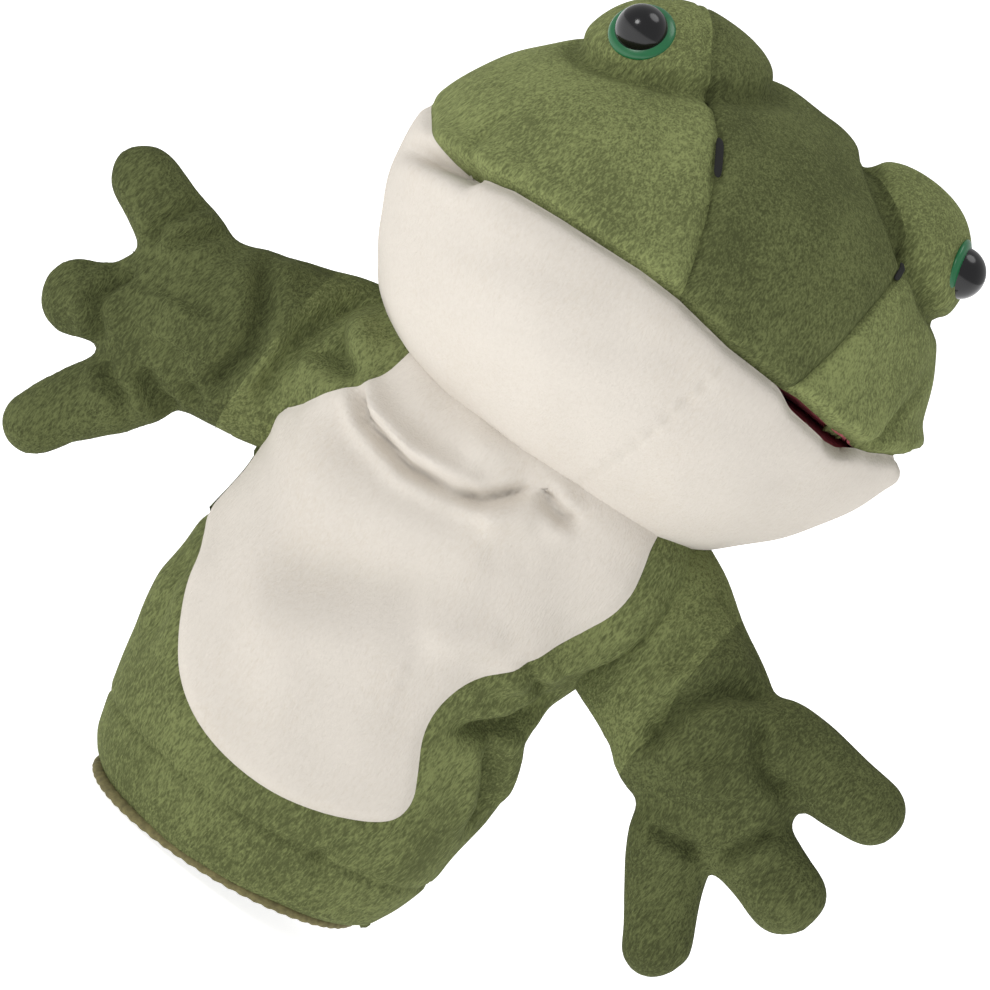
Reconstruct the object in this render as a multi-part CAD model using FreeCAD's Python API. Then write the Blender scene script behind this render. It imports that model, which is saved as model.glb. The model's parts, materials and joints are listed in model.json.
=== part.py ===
import FreeCAD, Part
import math
import os

# Plush frog hand puppet: an open tube of a body with a belly patch, two stuffed arms with
# three-fingered hands, and a big two-part head whose mouth the hand inside opens.
# Frame: millimetres, +Z up, the face of the body towards -Y.  The origin is the centre of
# the hem's opening.  "left" is the -X side, as somebody facing the puppet sees it.

V = FreeCAD.Vector
X_AXIS = V(1, 0, 0)
Y_AXIS = V(0, 1, 0)
Z_AXIS = V(0, 0, 1)
FAR = 400.0  # half size of the blocks that cut space in two

# ---- fabric and fits ----
PLUSH = 3.0  # backing and pile of the outer fabric
LIMB_PLUSH = 2.2  # the same fabric on the small limbs, pulled tighter
LINING = 1.5
PLATE = 2.0  # stiffener in the mouth
GAP = 0.4  # between bodies that move past each other
MOUTH_GAP = 0.6  # between the two closed mouth linings
MOUTH_EASE = 0.4  # lining and stiffener to the inside of the covers
NECK_EASE = 2.0  # neck rings to the hollow of the jaw that turns round them

# ---- body tube: height of a section, half width, half depth ----
HEM_HALF_WIDTH = 45.0
HEM_HALF_DEPTH = 36.0
HIP_HEIGHT = 60.0
HIP_HALF_WIDTH = 58.0
HIP_HALF_DEPTH = 42.0
CHEST_HEIGHT = 102.0
CHEST_HALF_WIDTH = 55.0
CHEST_HALF_DEPTH = 41.0
HEM_EDGE = 3.0  # height of the turned edge
SHOULDER_DROP = 8.0  # from the neck rim down to the last wide section

# ---- neck: concentric fabric rings round one centre ----
NECK_RIM_HEIGHT = 126.0
NECK_CENTRE_ABOVE_RIM = 4.0
NECK_RADIUS = 35.0
NECK_PLUSH = 2.5
NECK_RING_TOP = 19.0  # above the neck's centre
NECK_UPPER_FOOT = 3.0  # above the neck's centre

# ---- head: mouth plane through its centre ----
MOUTH_CENTRE = V(2.0, 4.0, 200.5)
HEAD_TURN = 28.0  # degrees, towards +X
HEAD_LEAN_BACK = 14.0
HEAD_TILT = 3.0  # +X side up
HEAD_WIDTH = 176.0
HEAD_DEPTH = 144.0
CROWN_RISE = 75.0
JAW_DROP = 57.0
HINGE_DEPTH = -8.0  # the mouth's fold line, a little in front of the head's middle
OPEN_CLEAR_ANGLE = 42.0  # stuffing stays above this angle behind the hinge
SKIRT_SIDE_INSET = 5.0  # the lower back is narrower than the head on each side
CHEEK_BACK = 32.0  # side seam between the pale jaw and the green nape

# ---- head panels ----
PANEL_MOUTH_HALF = 18.0
PANEL_NOSE_HALF = 32.0
PANEL_NOSE_RISE = 46.0
NOSTRIL_LENGTH = 11.5
NOSTRIL_WIDTH = 2.6
NOSTRIL_PROUD = 0.8
NOSTRIL_SUNK = 1.0

# ---- spaces for the hand in the head ----
FINGER_SPACE = V(50.0, 52.0, 21.0)
FINGER_SPACE_RISE = 27.0
THUMB_SPACE = V(30.0, 44.0, 12.0)
THUMB_SPACE_DROP = 19.0
THUMB_SPACE_FRONT = 18.0
PASSAGE_RADIUS = 37.0

# ---- eye bumps and eyes ----
BUMP_CENTRE = V(44.0, -23.0, 52.0)
BUMP_HALF = V(28.0, 25.0, 28.0)
BUMP_SEAM_X = 38.0
EYE_OUTWARD = 52.0  # degrees of the eye's direction from straight ahead
EYE_UPWARD = 8.0
EYE_DIAMETER = 20.0
EYE_RISE = 5.0
PUPIL_DIAMETER = 13.5
PUPIL_RISE = 7.0
PUPIL_SEAT = 2.5  # height of the pupil's flat foot over the iris' own foot
SHAFT_DIAMETER = 4.6
SHAFT_LENGTH = 13.0
WASHER_DIAMETER = 15.0
WASHER_THICKNESS = 1.6

# ---- belly patch ----
BELLY_FOOT = 20.0
BELLY_CORNER_HEIGHT = 30.0
BELLY_LEFT_FOOT = -40.0
BELLY_RIGHT_FOOT = 34.0
BELLY_WAIST_HEIGHT = 76.0
BELLY_WAIST_RIGHT = 26.0
BELLY_LEFT_EDGE = -60.0
BELLY_TOP_RIGHT = 52.0

# ---- arms, hands and fingers ----
SHOULDER = V(62.0, 0.0, 121.0)
SHOULDER_RADIUS = 24.0
SHOULDER_CUT = 46.0  # flat inner end of the arm, from the middle plane
WRIST_RADIUS = 20.0
WRIST_SETBACK = 6.0  # palm's rim to the wrist's centre, so that the hand can bend
PALM_RADIUS = 30.0
PALM_HALF_THICK = 11.0
KNUCKLE_OUT = 30.0
KNUCKLE_RADIUS = 9.5
TIP_RADIUS = 12.5
SIDES = {
    # side: sign, wrist, palm centre, (direction in degrees above outward, knuckle to tip end)
    "left": (-1, V(83.0, -2.0, 116.0), V(94.0, -3.0, 113.0), ((31.0, 27.0), (-24.0, 20.0), (-63.0, 33.0))),
    "right": (1, V(88.0, -2.0, 113.0), V(101.0, -3.0, 109.0), ((21.0, 27.0), (-31.0, 21.0), (-69.0, 33.0))),
}


def block(low, high):
    """A box between two corners."""
    size = high - low
    return Part.makeBox(size.x, size.y, size.z, low)


def ellipsoid(centre, half):
    """An ellipsoid from its centre and its three half sizes."""
    matrix = FreeCAD.Matrix()
    matrix.scale(half)
    shape = Part.makeSphere(1.0).transformGeometry(matrix)
    shape.translate(centre)
    return shape


def shrink(half, wall):
    """Half sizes smaller by one wall."""
    return V(half.x - wall, half.y - wall, half.z - wall)


def body_tube(inset, low, high):
    """The body's outer shape, or its hollow where inset is the wall."""
    rim = NECK_RADIUS
    stations = (
        (low, HEM_HALF_WIDTH, HEM_HALF_DEPTH),
        (HIP_HEIGHT, HIP_HALF_WIDTH, HIP_HALF_DEPTH),
        (CHEST_HEIGHT, CHEST_HALF_WIDTH, CHEST_HALF_DEPTH),
        (NECK_RIM_HEIGHT - SHOULDER_DROP, CHEST_HALF_WIDTH - SHOULDER_DROP, CHEST_HALF_DEPTH - 2.0),
        (high, rim, rim),
    )
    wires = []
    for height, half_width, half_depth in stations:
        curve = Part.Ellipse(V(0, 0, height), half_width - inset, half_depth - inset)
        wires.append(Part.Wire(curve.toShape()))
    return Part.makeLoft(wires, True, False)


def prism(wire, depth_low, depth_high):
    """A flat outline in the XZ plane pushed along Y."""
    face = Part.Face(wire)
    solid = face.extrude(V(0, depth_high - depth_low, 0))
    solid.translate(V(0, depth_low, 0))
    return solid


def polygon(points):
    """A closed outline in the XZ plane."""
    corners = [V(x, 0, z) for x, z in points]
    return Part.makePolygon(corners + corners[:1])


def tapered(start, start_radius, end, end_radius):
    """A limb with round ends between two centres."""
    axis = end - start
    limb = Part.makeCone(start_radius, end_radius, axis.Length, start, axis)
    limb = limb.fuse(Part.makeSphere(start_radius, start))
    limb = limb.fuse(Part.makeSphere(end_radius, end))
    return limb.removeSplitter()


def save(name, shape):
    """Write one sub-part, which must be one closed solid."""
    solids = [solid for solid in shape.Solids if solid.Volume > 1.0]
    if len(solids) != 1:
        raise RuntimeError(f"{name} has {len(solids)} solids")
    if not solids[0].isValid():
        raise RuntimeError(f"{name} is not valid")
    solids[0].exportStep(f"parts/{name}.step")


# ---- body ----
NECK_CENTRE = V(0, 0, NECK_RIM_HEIGHT + NECK_CENTRE_ABOVE_RIM)


def shoulder_of(sign):
    """Centre of one shoulder."""
    return V(sign * SHOULDER.x, SHOULDER.y, SHOULDER.z)


def belly_outline():
    """Outline of the cream patch: a round foot, a waist and a top that meets the neck."""
    foot = Part.Arc(
        V(BELLY_LEFT_FOOT, 0, BELLY_CORNER_HEIGHT),
        V((BELLY_LEFT_FOOT + BELLY_RIGHT_FOOT) / 2, 0, BELLY_FOOT),
        V(BELLY_RIGHT_FOOT, 0, BELLY_CORNER_HEIGHT),
    ).toShape()
    top = NECK_RIM_HEIGHT + HEM_EDGE
    right = (
        V(BELLY_RIGHT_FOOT, 0, BELLY_CORNER_HEIGHT),
        V(BELLY_WAIST_RIGHT, 0, BELLY_WAIST_HEIGHT),
        V(BELLY_TOP_RIGHT, 0, SHOULDER.z),
        V(BELLY_TOP_RIGHT, 0, top),
        V(BELLY_LEFT_EDGE, 0, top),
        V(BELLY_LEFT_EDGE, 0, BELLY_WAIST_HEIGHT),
        V(BELLY_LEFT_FOOT, 0, BELLY_CORNER_HEIGHT),
    )
    edges = [foot]
    for start, end in zip(right, right[1:]):
        edges.append(Part.LineSegment(start, end).toShape())
    return Part.Wire(edges)


def make_body():
    """Panels of the tube and its turned hem edge."""
    tube = body_tube(0.0, 0.0, NECK_RIM_HEIGHT)
    hollow = body_tube(PLUSH, 0.0, NECK_RIM_HEIGHT)
    walls = tube.cut(hollow)
    for sign in (-1, 1):
        walls = walls.cut(Part.makeSphere(SHOULDER_RADIUS + GAP, shoulder_of(sign)))
    edge = block(V(-FAR, -FAR, -1), V(FAR, FAR, HEM_EDGE))
    patch = prism(belly_outline(), -FAR, 0.0)
    back_half = block(V(-FAR, 0, -1), V(FAR, FAR, FAR))
    hem = walls.common(edge)
    walls = walls.cut(edge)
    save("hem_binding", hem)
    save("belly_panel", walls.common(patch))
    save("body_back_panel", walls.common(back_half))
    save("body_front_panel", walls.cut(back_half).cut(patch))


def neck_ring(radius, foot, top):
    """A zone of a hollow ball round the neck's centre."""
    ball = Part.makeSphere(radius, NECK_CENTRE)
    ball = ball.cut(Part.makeSphere(radius - NECK_PLUSH, NECK_CENTRE))
    low = V(-FAR, -FAR, NECK_CENTRE.z + foot)
    high = V(FAR, FAR, NECK_CENTRE.z + top)
    return ball.common(block(low, high))


def make_neck():
    """Two fabric rings, one inside the other, that let the head turn and tilt."""
    save("neck_ring_lower", neck_ring(NECK_RADIUS, GAP - NECK_CENTRE_ABOVE_RIM, NECK_RING_TOP))
    upper_radius = NECK_RADIUS + NECK_PLUSH + GAP
    save("neck_ring_upper", neck_ring(upper_radius, NECK_UPPER_FOOT, NECK_RING_TOP))


# ---- head, in its own frame: mouth plane at z = 0, face towards -Y ----
HEAD_HALF = V(HEAD_WIDTH / 2, HEAD_DEPTH / 2, CROWN_RISE)
JAW_HALF = V(HEAD_WIDTH / 2, HEAD_DEPTH / 2, JAW_DROP)
MOUTH_HALF_GAP = MOUTH_GAP / 2
INNER_FLOOR = MOUTH_HALF_GAP + LINING + PLATE


def head_place():
    """Where the head stands at rest."""
    turn = FreeCAD.Rotation(Z_AXIS, HEAD_TURN)
    tilt = FreeCAD.Rotation(Y_AXIS, -HEAD_TILT)
    lean = FreeCAD.Rotation(X_AXIS, -HEAD_LEAN_BACK)
    return FreeCAD.Placement(MOUTH_CENTRE, turn * tilt * lean)


def placed(shape):
    """A head piece moved from the head's own frame to the puppet's."""
    moved = shape.copy()
    moved.transformShape(head_place().toMatrix())
    return moved


def above(height):
    """All space over one height."""
    return block(V(-FAR, -FAR, height), V(FAR, FAR, FAR))


def below(height):
    """All space under one height."""
    return block(V(-FAR, -FAR, -FAR), V(FAR, FAR, height))


def behind(depth):
    """All space behind one depth."""
    return block(V(-FAR, depth, -FAR), V(FAR, FAR, FAR))


def side_of(sign, edge=0.0):
    """All space on one side of a plane across X."""
    if sign < 0:
        return block(V(-FAR, -FAR, -FAR), V(edge, FAR, FAR))
    return block(V(edge, -FAR, -FAR), V(FAR, FAR, FAR))


def hinge_wedge():
    """Space behind the hinge that the lower back needs when the mouth is open."""
    wedge = block(V(-FAR, 0, -FAR), V(FAR, FAR, 0))
    wedge.rotate(V(0, 0, 0), X_AXIS, OPEN_CLEAR_ANGLE)
    wedge.translate(V(0, HINGE_DEPTH, 0))
    return wedge


def skirt(inset):
    """Round lower back of the head, centred on the mouth hinge so that the crown passes it."""
    radius = HEAD_DEPTH / 2 - PLUSH - HINGE_DEPTH - 2 * GAP - inset
    half = V(HEAD_WIDTH / 2 - SKIRT_SIDE_INSET - inset, radius, radius)
    bowl = ellipsoid(V(0, 0, 0), shrink(JAW_HALF, inset))
    return ellipsoid(V(0, HINGE_DEPTH, 0), half).common(bowl).common(behind(HINGE_DEPTH))


def chin(inset):
    """Bowl of the lower jaw in front of the hinge."""
    return ellipsoid(V(0, 0, 0), shrink(JAW_HALF, inset)).cut(behind(HINGE_DEPTH))


def neck_hollow():
    """Ball that the neck rings turn in, in the head's own frame."""
    radius = NECK_RADIUS + NECK_PLUSH + NECK_EASE
    ball = Part.makeSphere(radius, NECK_CENTRE)
    ball.transformShape(head_place().inverse().toMatrix())
    return ball


def passage():
    """The way for the hand from the neck up to the mouth, in the head's own frame."""
    foot = head_place().inverse().multVec(NECK_CENTRE)
    way = Part.makeCylinder(PASSAGE_RADIUS, FAR, V(0, foot.y, -FAR), Z_AXIS)
    return way.fuse(neck_hollow())


def thumb_space(extra):
    """Room for the thumb under the lower mouth plate."""
    half = shrink(THUMB_SPACE, -extra)
    return ellipsoid(V(0, -THUMB_SPACE_FRONT, -THUMB_SPACE_DROP), half)


def finger_space(extra):
    """Room for the fingers over the upper mouth plate."""
    return ellipsoid(V(0, 0, FINGER_SPACE_RISE), shrink(FINGER_SPACE, -extra))


def mouth_layer(low, high):
    """A flat layer of the mouth in front of the hinge, inside the covers."""
    layer = ellipsoid(V(0, 0, 0), shrink(HEAD_HALF, PLUSH + MOUTH_EASE))
    mouth = layer.common(below(0.01)).common(above(-0.01)).cut(behind(HINGE_DEPTH))
    outline = max(mouth.Faces, key=lambda face: face.Area).OuterWire
    sheet = Part.Face(outline).extrude(V(0, 0, high - low))
    sheet.translate(V(0, 0, low - sheet.BoundBox.ZMin))
    return sheet


def make_jaw():
    """Everything that hangs under the closed mouth."""
    way = passage()
    hollow = neck_hollow()
    under = below(-MOUTH_HALF_GAP)
    floor = below(-INNER_FLOOR)
    front = chin(0.0).cut(chin(PLUSH)).common(under).cut(hollow)
    rear = skirt(0.0).cut(skirt(PLUSH)).common(under).cut(hollow)
    nape = behind(CHEEK_BACK)
    for sign, side in ((-1, "left"), (1, "right")):
        half = side_of(sign)
        cover = front.common(half).fuse(rear.cut(nape).common(half)).removeSplitter()
        save(f"jaw_cover_{side}", placed(cover))
    save("jaw_back_panel", placed(rear.common(nape)))
    space = thumb_space(0.0)
    pocket = thumb_space(LINING)
    filling = chin(PLUSH).common(floor).cut(pocket).cut(way)
    save("jaw_stuffing", placed(filling))
    save("thumb_pocket_lining", placed(pocket.cut(space).common(floor).cut(way)))
    lining = mouth_layer(-MOUTH_HALF_GAP - LINING, -MOUTH_HALF_GAP)
    save("mouth_lining_lower", placed(lining))
    plate = mouth_layer(-INNER_FLOOR, -MOUTH_HALF_GAP - LINING)
    save("mouth_plate_lower", placed(plate))


def nose_outline():
    """Centre panel of the head: narrow at the mouth, wide from the nostrils up."""
    half = (
        (PANEL_MOUTH_HALF, 0.0),
        (PANEL_NOSE_HALF, PANEL_NOSE_RISE),
        (PANEL_NOSE_HALF, FAR),
    )
    right = list(half)
    left = [(-x, z) for x, z in reversed(half)]
    return prism(polygon(right + left), -FAR, HINGE_DEPTH)


def nostril(sign):
    """A raised satin-stitch slit on the seam beside the nose."""
    slot_half = NOSTRIL_LENGTH / 2 - NOSTRIL_WIDTH / 2
    low = V(0, 0, -slot_half)
    high = V(0, 0, slot_half)
    slot = Part.makeCylinder(NOSTRIL_WIDTH / 2, FAR, low, V(0, -1, 0))
    slot = slot.fuse(Part.makeCylinder(NOSTRIL_WIDTH / 2, FAR, high, V(0, -1, 0)))
    bar = block(
        V(-NOSTRIL_WIDTH / 2, -FAR, -slot_half),
        V(NOSTRIL_WIDTH / 2, 0, slot_half),
    )
    slot = slot.fuse(bar).removeSplitter()
    slot.translate(V(sign * PANEL_NOSE_HALF, 0, PANEL_NOSE_RISE))
    centre = V(0, 0, 0)
    layer = ellipsoid(centre, shrink(HEAD_HALF, -NOSTRIL_PROUD))
    layer = layer.cut(ellipsoid(centre, shrink(HEAD_HALF, NOSTRIL_SUNK)))
    return slot.common(layer)


def bump(sign, inset):
    """Padded bump that carries one eye."""
    centre = V(sign * BUMP_CENTRE.x, BUMP_CENTRE.y, BUMP_CENTRE.z)
    return ellipsoid(centre, shrink(BUMP_HALF, inset))


def eye_place(sign):
    """Foot of one eye on its bump, with the local Z axis pointing out."""
    out = math.radians(EYE_OUTWARD)
    up = math.radians(EYE_UPWARD)
    ray = V(sign * math.sin(out) * math.cos(up), -math.cos(out) * math.cos(up), math.sin(up))
    reach = 1 / math.sqrt(
        (ray.x / BUMP_HALF.x) ** 2 + (ray.y / BUMP_HALF.y) ** 2 + (ray.z / BUMP_HALF.z) ** 2
    )
    centre = V(sign * BUMP_CENTRE.x, BUMP_CENTRE.y, BUMP_CENTRE.z)
    sagitta = (EYE_DIAMETER / 2) ** 2 / (2 * BUMP_HALF.x)
    foot = centre + ray * (reach - sagitta)
    return FreeCAD.Placement(foot, FreeCAD.Rotation(Z_AXIS, ray))


def cap(diameter, rise, foot):
    """A domed button: a flat foot and a spherical top."""
    half = diameter / 2
    radius = (half * half + rise * rise) / (2 * rise)
    ball = Part.makeSphere(radius, V(0, 0, foot + rise - radius))
    return ball.common(above(foot))


def eye_pieces():
    """Ring, pupil, shaft and washer of a safety eye, standing on its foot at z = 0."""
    ring = Part.makeCylinder(EYE_DIAMETER / 2, 1.0)
    ring = ring.fuse(cap(EYE_DIAMETER, EYE_RISE - 1.0, 1.0)).removeSplitter()
    seat = Part.makeCylinder(PUPIL_DIAMETER / 2, FAR, V(0, 0, PUPIL_SEAT), Z_AXIS)
    ring = ring.cut(seat)
    pupil = cap(PUPIL_DIAMETER, PUPIL_RISE - PUPIL_SEAT, PUPIL_SEAT)
    shaft = Part.makeCylinder(SHAFT_DIAMETER / 2, SHAFT_LENGTH, V(0, 0, -SHAFT_LENGTH), Z_AXIS)
    washer_top = -PLUSH - 1.0
    washer = Part.makeCylinder(
        WASHER_DIAMETER / 2, WASHER_THICKNESS, V(0, 0, washer_top - WASHER_THICKNESS), Z_AXIS
    )
    return {"ring": ring, "pupil": pupil, "shaft": shaft, "washer": washer.cut(shaft)}


def make_eyes(crown):
    """Bumps with their filling and the two safety eyes."""
    for side, (sign, *_) in SIDES.items():
        parts = {}
        for name, shape in eye_pieces().items():
            seated = shape.copy()
            seated.transformShape(eye_place(sign).toMatrix())
            parts[name] = seated
            save(f"eye_{name}_{side}", placed(seated))
        outer = bump(sign, 0.0).cut(crown)
        inner = bump(sign, PLUSH).cut(crown)
        cover = outer.cut(inner).cut(nostril(sign))
        seam = side_of(sign, sign * BUMP_SEAM_X)
        filling = inner
        for shape in parts.values():
            cover = cover.cut(shape)
            filling = filling.cut(shape)
        save(f"eye_bump_outer_{side}", placed(cover.common(seam)))
        save(f"eye_bump_inner_{side}", placed(cover.cut(seam)))
        save(f"eye_bump_stuffing_{side}", placed(filling))


def make_head():
    """Everything that lifts when the mouth opens."""
    crown = ellipsoid(V(0, 0, 0), HEAD_HALF)
    hollow = ellipsoid(V(0, 0, 0), shrink(HEAD_HALF, PLUSH))
    wedge = hinge_wedge()
    cover = crown.cut(hollow).common(above(MOUTH_HALF_GAP))
    for side, (sign, *_) in SIDES.items():
        slit = nostril(sign)
        save(f"nostril_{side}", placed(slit))
        cover = cover.cut(slit)
    nose = nose_outline()
    back = behind(HINGE_DEPTH)
    save("head_center_panel", placed(cover.common(nose)))
    save("head_back_panel", placed(cover.common(back)))
    sides = cover.cut(nose).cut(back)
    save("head_side_left", placed(sides.common(side_of(-1))))
    save("head_side_right", placed(sides.common(side_of(1))))
    ceiling = above(INNER_FLOOR)
    space = finger_space(0.0)
    pocket = finger_space(LINING)
    filling = hollow.common(ceiling).cut(pocket).cut(wedge)
    save("head_stuffing", placed(filling))
    save("finger_pocket_lining", placed(pocket.cut(space).common(ceiling).cut(wedge)))
    lining = mouth_layer(MOUTH_HALF_GAP, MOUTH_HALF_GAP + LINING)
    save("mouth_lining_upper", placed(lining))
    plate = mouth_layer(MOUTH_HALF_GAP + LINING, INNER_FLOOR)
    save("mouth_plate_upper", placed(plate))
    make_eyes(crown)


# ---- arms ----
def mirrored(point, sign):
    """A point given for the +X side, on either side."""
    return V(sign * point.x, point.y, point.z)


def arm(sign, wrist, inset):
    """A short sleeve with a round wrist end and a flat end inside the body."""
    limb = tapered(shoulder_of(sign), SHOULDER_RADIUS - inset, wrist, WRIST_RADIUS - inset)
    return limb.common(side_of(sign, sign * (SHOULDER_CUT + inset)))


def finger(knuckle, ray, length, inset):
    """A short finger, wider at its tip."""
    tip = knuckle + ray * (length - TIP_RADIUS)
    return tapered(knuckle, KNUCKLE_RADIUS - inset, tip, TIP_RADIUS - inset)


def palm(sign, centre, wrist, sockets, inset):
    """A flat pad, its seam at the wrist, with a hollow for the wrist and for each knuckle."""
    pad = ellipsoid(V(0, 0, 0), shrink(V(PALM_RADIUS, PALM_HALF_THICK, PALM_RADIUS), inset))
    if sign > 0:
        pad.rotate(V(0, 0, 0), Z_AXIS, 180)
    pad.translate(centre)
    outward = centre - wrist
    outward.y = 0
    cutter = block(V(-FAR, -FAR, -FAR), V(FAR, FAR, WRIST_SETBACK + inset))
    cutter.Placement = FreeCAD.Placement(wrist, FreeCAD.Rotation(Z_AXIS, outward))
    pad = pad.cut(cutter)
    pad = pad.cut(Part.makeSphere(WRIST_RADIUS + GAP + inset, wrist))
    for knuckle in sockets:
        pad = pad.cut(Part.makeSphere(KNUCKLE_RADIUS + GAP + inset, knuckle))
    return pad


def finger_ray(sign, rise):
    """Direction of a finger from its angle above straight outward."""
    angle = math.radians(rise)
    return V(sign * math.cos(angle), 0, math.sin(angle))


def make_limb(side):
    """One arm, its hand and three fingers, each a cover with its filling."""
    sign, wrist, centre, fan = SIDES[side]
    wrist = mirrored(wrist, sign)
    centre = mirrored(centre, sign)
    sleeve = arm(sign, wrist, 0.0)
    filling = arm(sign, wrist, LIMB_PLUSH)
    save(f"arm_cover_{side}", sleeve.cut(filling))
    save(f"arm_stuffing_{side}", filling)
    knuckles = [centre + finger_ray(sign, rise) * KNUCKLE_OUT for rise, length in fan]
    pad = palm(sign, centre, wrist, knuckles, 0.0)
    filling = palm(sign, centre, wrist, knuckles, LIMB_PLUSH)
    save(f"palm_cover_{side}", pad.cut(filling))
    save(f"palm_stuffing_{side}", filling)
    for number, (rise, length) in enumerate(fan, 1):
        knuckle = knuckles[number - 1]
        ray = finger_ray(sign, rise)
        cover = finger(knuckle, ray, length, 0.0)
        filling = finger(knuckle, ray, length, LIMB_PLUSH)
        save(f"finger_cover_{side}_{number}", cover.cut(filling))
        save(f"finger_stuffing_{side}_{number}", filling)


def main():
    os.makedirs("parts", exist_ok=True)
    make_body()
    make_neck()
    make_jaw()
    make_head()
    for side in SIDES:
        make_limb(side)


if __name__ == "__main__":
    main()
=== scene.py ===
import json
import math

import bmesh
import bpy
import numpy as np
from mathutils import Matrix, Vector


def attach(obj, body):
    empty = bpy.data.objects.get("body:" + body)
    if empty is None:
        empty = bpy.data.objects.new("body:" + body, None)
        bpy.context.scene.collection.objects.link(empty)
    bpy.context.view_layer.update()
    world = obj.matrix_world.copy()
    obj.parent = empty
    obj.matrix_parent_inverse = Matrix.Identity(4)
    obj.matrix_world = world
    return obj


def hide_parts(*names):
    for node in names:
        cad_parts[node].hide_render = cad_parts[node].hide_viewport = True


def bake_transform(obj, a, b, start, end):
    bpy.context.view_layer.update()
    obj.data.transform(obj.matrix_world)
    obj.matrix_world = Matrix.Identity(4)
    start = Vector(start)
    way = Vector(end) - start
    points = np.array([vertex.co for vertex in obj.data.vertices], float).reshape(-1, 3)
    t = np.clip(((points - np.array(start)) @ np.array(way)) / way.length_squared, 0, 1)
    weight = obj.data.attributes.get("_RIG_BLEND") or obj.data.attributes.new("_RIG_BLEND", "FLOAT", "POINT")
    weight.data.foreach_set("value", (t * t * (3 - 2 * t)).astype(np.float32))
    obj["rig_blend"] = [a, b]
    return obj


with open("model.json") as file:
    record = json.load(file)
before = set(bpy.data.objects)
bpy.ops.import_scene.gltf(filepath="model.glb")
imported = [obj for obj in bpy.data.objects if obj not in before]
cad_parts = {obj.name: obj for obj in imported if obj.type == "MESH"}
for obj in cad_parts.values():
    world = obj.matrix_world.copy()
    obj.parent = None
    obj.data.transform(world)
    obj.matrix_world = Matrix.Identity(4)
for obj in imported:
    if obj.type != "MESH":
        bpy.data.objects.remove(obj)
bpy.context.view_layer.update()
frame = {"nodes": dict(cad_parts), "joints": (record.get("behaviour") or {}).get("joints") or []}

# Plush frog hand puppet.  Lengths in the helper functions are millimetres, as a soft-toy
# maker measures; every mesh is written in metres.  "left" is the -X side, as seen by
# somebody who faces the puppet.

bl_info = {
    "name": "Plush Frog Hand Puppet",
    "version": (1, 0, 0),
    "blender": (4, 5, 0),
    "location": "View3D > Sidebar > Puppet",
    "description": "Builds the soft pieces of a plush frog hand puppet round its frame",
    "category": "Object",
}

SIDES = (("left", -1), ("right", 1))


# ------------------------------------------------------------------ the frame's places
def joint(name):
    """One joint of the frame."""
    return next(j for j in frame["joints"] if j["name"] == name)


def pivot(name):
    """A joint's centre in millimetres."""
    return np.array(joint(name)["pos_m"]) * 1000


def cad_points(node):
    """The corners of a frame node in millimetres."""
    mesh = frame["nodes"][node].data
    flat = np.empty(len(mesh.vertices) * 3)
    mesh.vertices.foreach_get("co", flat)
    return flat.reshape(-1, 3) * 1000


def head_axes():
    """Rows: the head's own X (sideways), Y (backwards) and Z (up, across the mouth)."""
    side = -np.array(joint("mouth_open")["axis"])
    lining = cad_points("mouth_lining_upper")
    centred = lining - lining.mean(axis=0)
    up = np.linalg.svd(centred, full_matrices=False)[2][2]
    up = up * np.sign(up[2])
    back = np.cross(up, side)
    back /= np.linalg.norm(back)
    return np.array([side, back, np.cross(side, back)])


HEAD_AXES = head_axes()
FOLD_DEPTH = -8.0  # the mouth's fold line, from the head's middle
HEAD_CENTRE = pivot("mouth_open") - HEAD_AXES[1] * FOLD_DEPTH


def to_head(points):
    """Puppet millimetres to the head's own millimetres."""
    return (points - HEAD_CENTRE) @ HEAD_AXES.T


def from_head(points):
    """The head's own millimetres to puppet millimetres."""
    return points @ HEAD_AXES + HEAD_CENTRE


# ------------------------------------------------------------------ general tools
def clear_selection():
    """Nothing selected and nothing in edit mode."""
    if bpy.context.object and bpy.context.object.mode != "OBJECT":
        bpy.ops.object.mode_set(mode="OBJECT")
    bpy.ops.object.select_all(action="DESELECT")


def choose(*objects):
    """Select these objects; the first is active."""
    clear_selection()
    for item in objects:
        item.select_set(True)
    bpy.context.view_layer.objects.active = objects[0]


def points_of(piece):
    """A mesh's points in millimetres."""
    flat = np.empty(len(piece.data.vertices) * 3)
    piece.data.vertices.foreach_get("co", flat)
    return flat.reshape(-1, 3) * 1000


def place_points(piece, points):
    """Write a mesh's points, given in millimetres."""
    piece.data.vertices.foreach_set("co", (points / 1000).ravel())
    piece.data.update()


def normals_of(piece):
    """Outward directions at a mesh's points."""
    flat = np.empty(len(piece.data.vertices) * 3)
    piece.data.vertex_normals.foreach_get("vector", flat)
    return flat.reshape(-1, 3)


def finish_modifier(piece, kind, name, **settings):
    """Add a modifier, set it and apply it."""
    choose(piece)
    modifier = piece.modifiers.new(name, kind)
    for key, value in settings.items():
        setattr(modifier, key, value)
    bpy.ops.object.modifier_apply(modifier=modifier.name)


def pad(name, centre, half, rounds=5):
    """A stuffed ball squeezed to three half sizes, in millimetres."""
    clear_selection()
    bpy.ops.mesh.primitive_ico_sphere_add(subdivisions=rounds, radius=1.0)
    piece = bpy.context.object
    piece.name = name
    points = points_of(piece) / 1000
    place_points(piece, points * np.array(half) + np.array(centre))
    return piece


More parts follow.
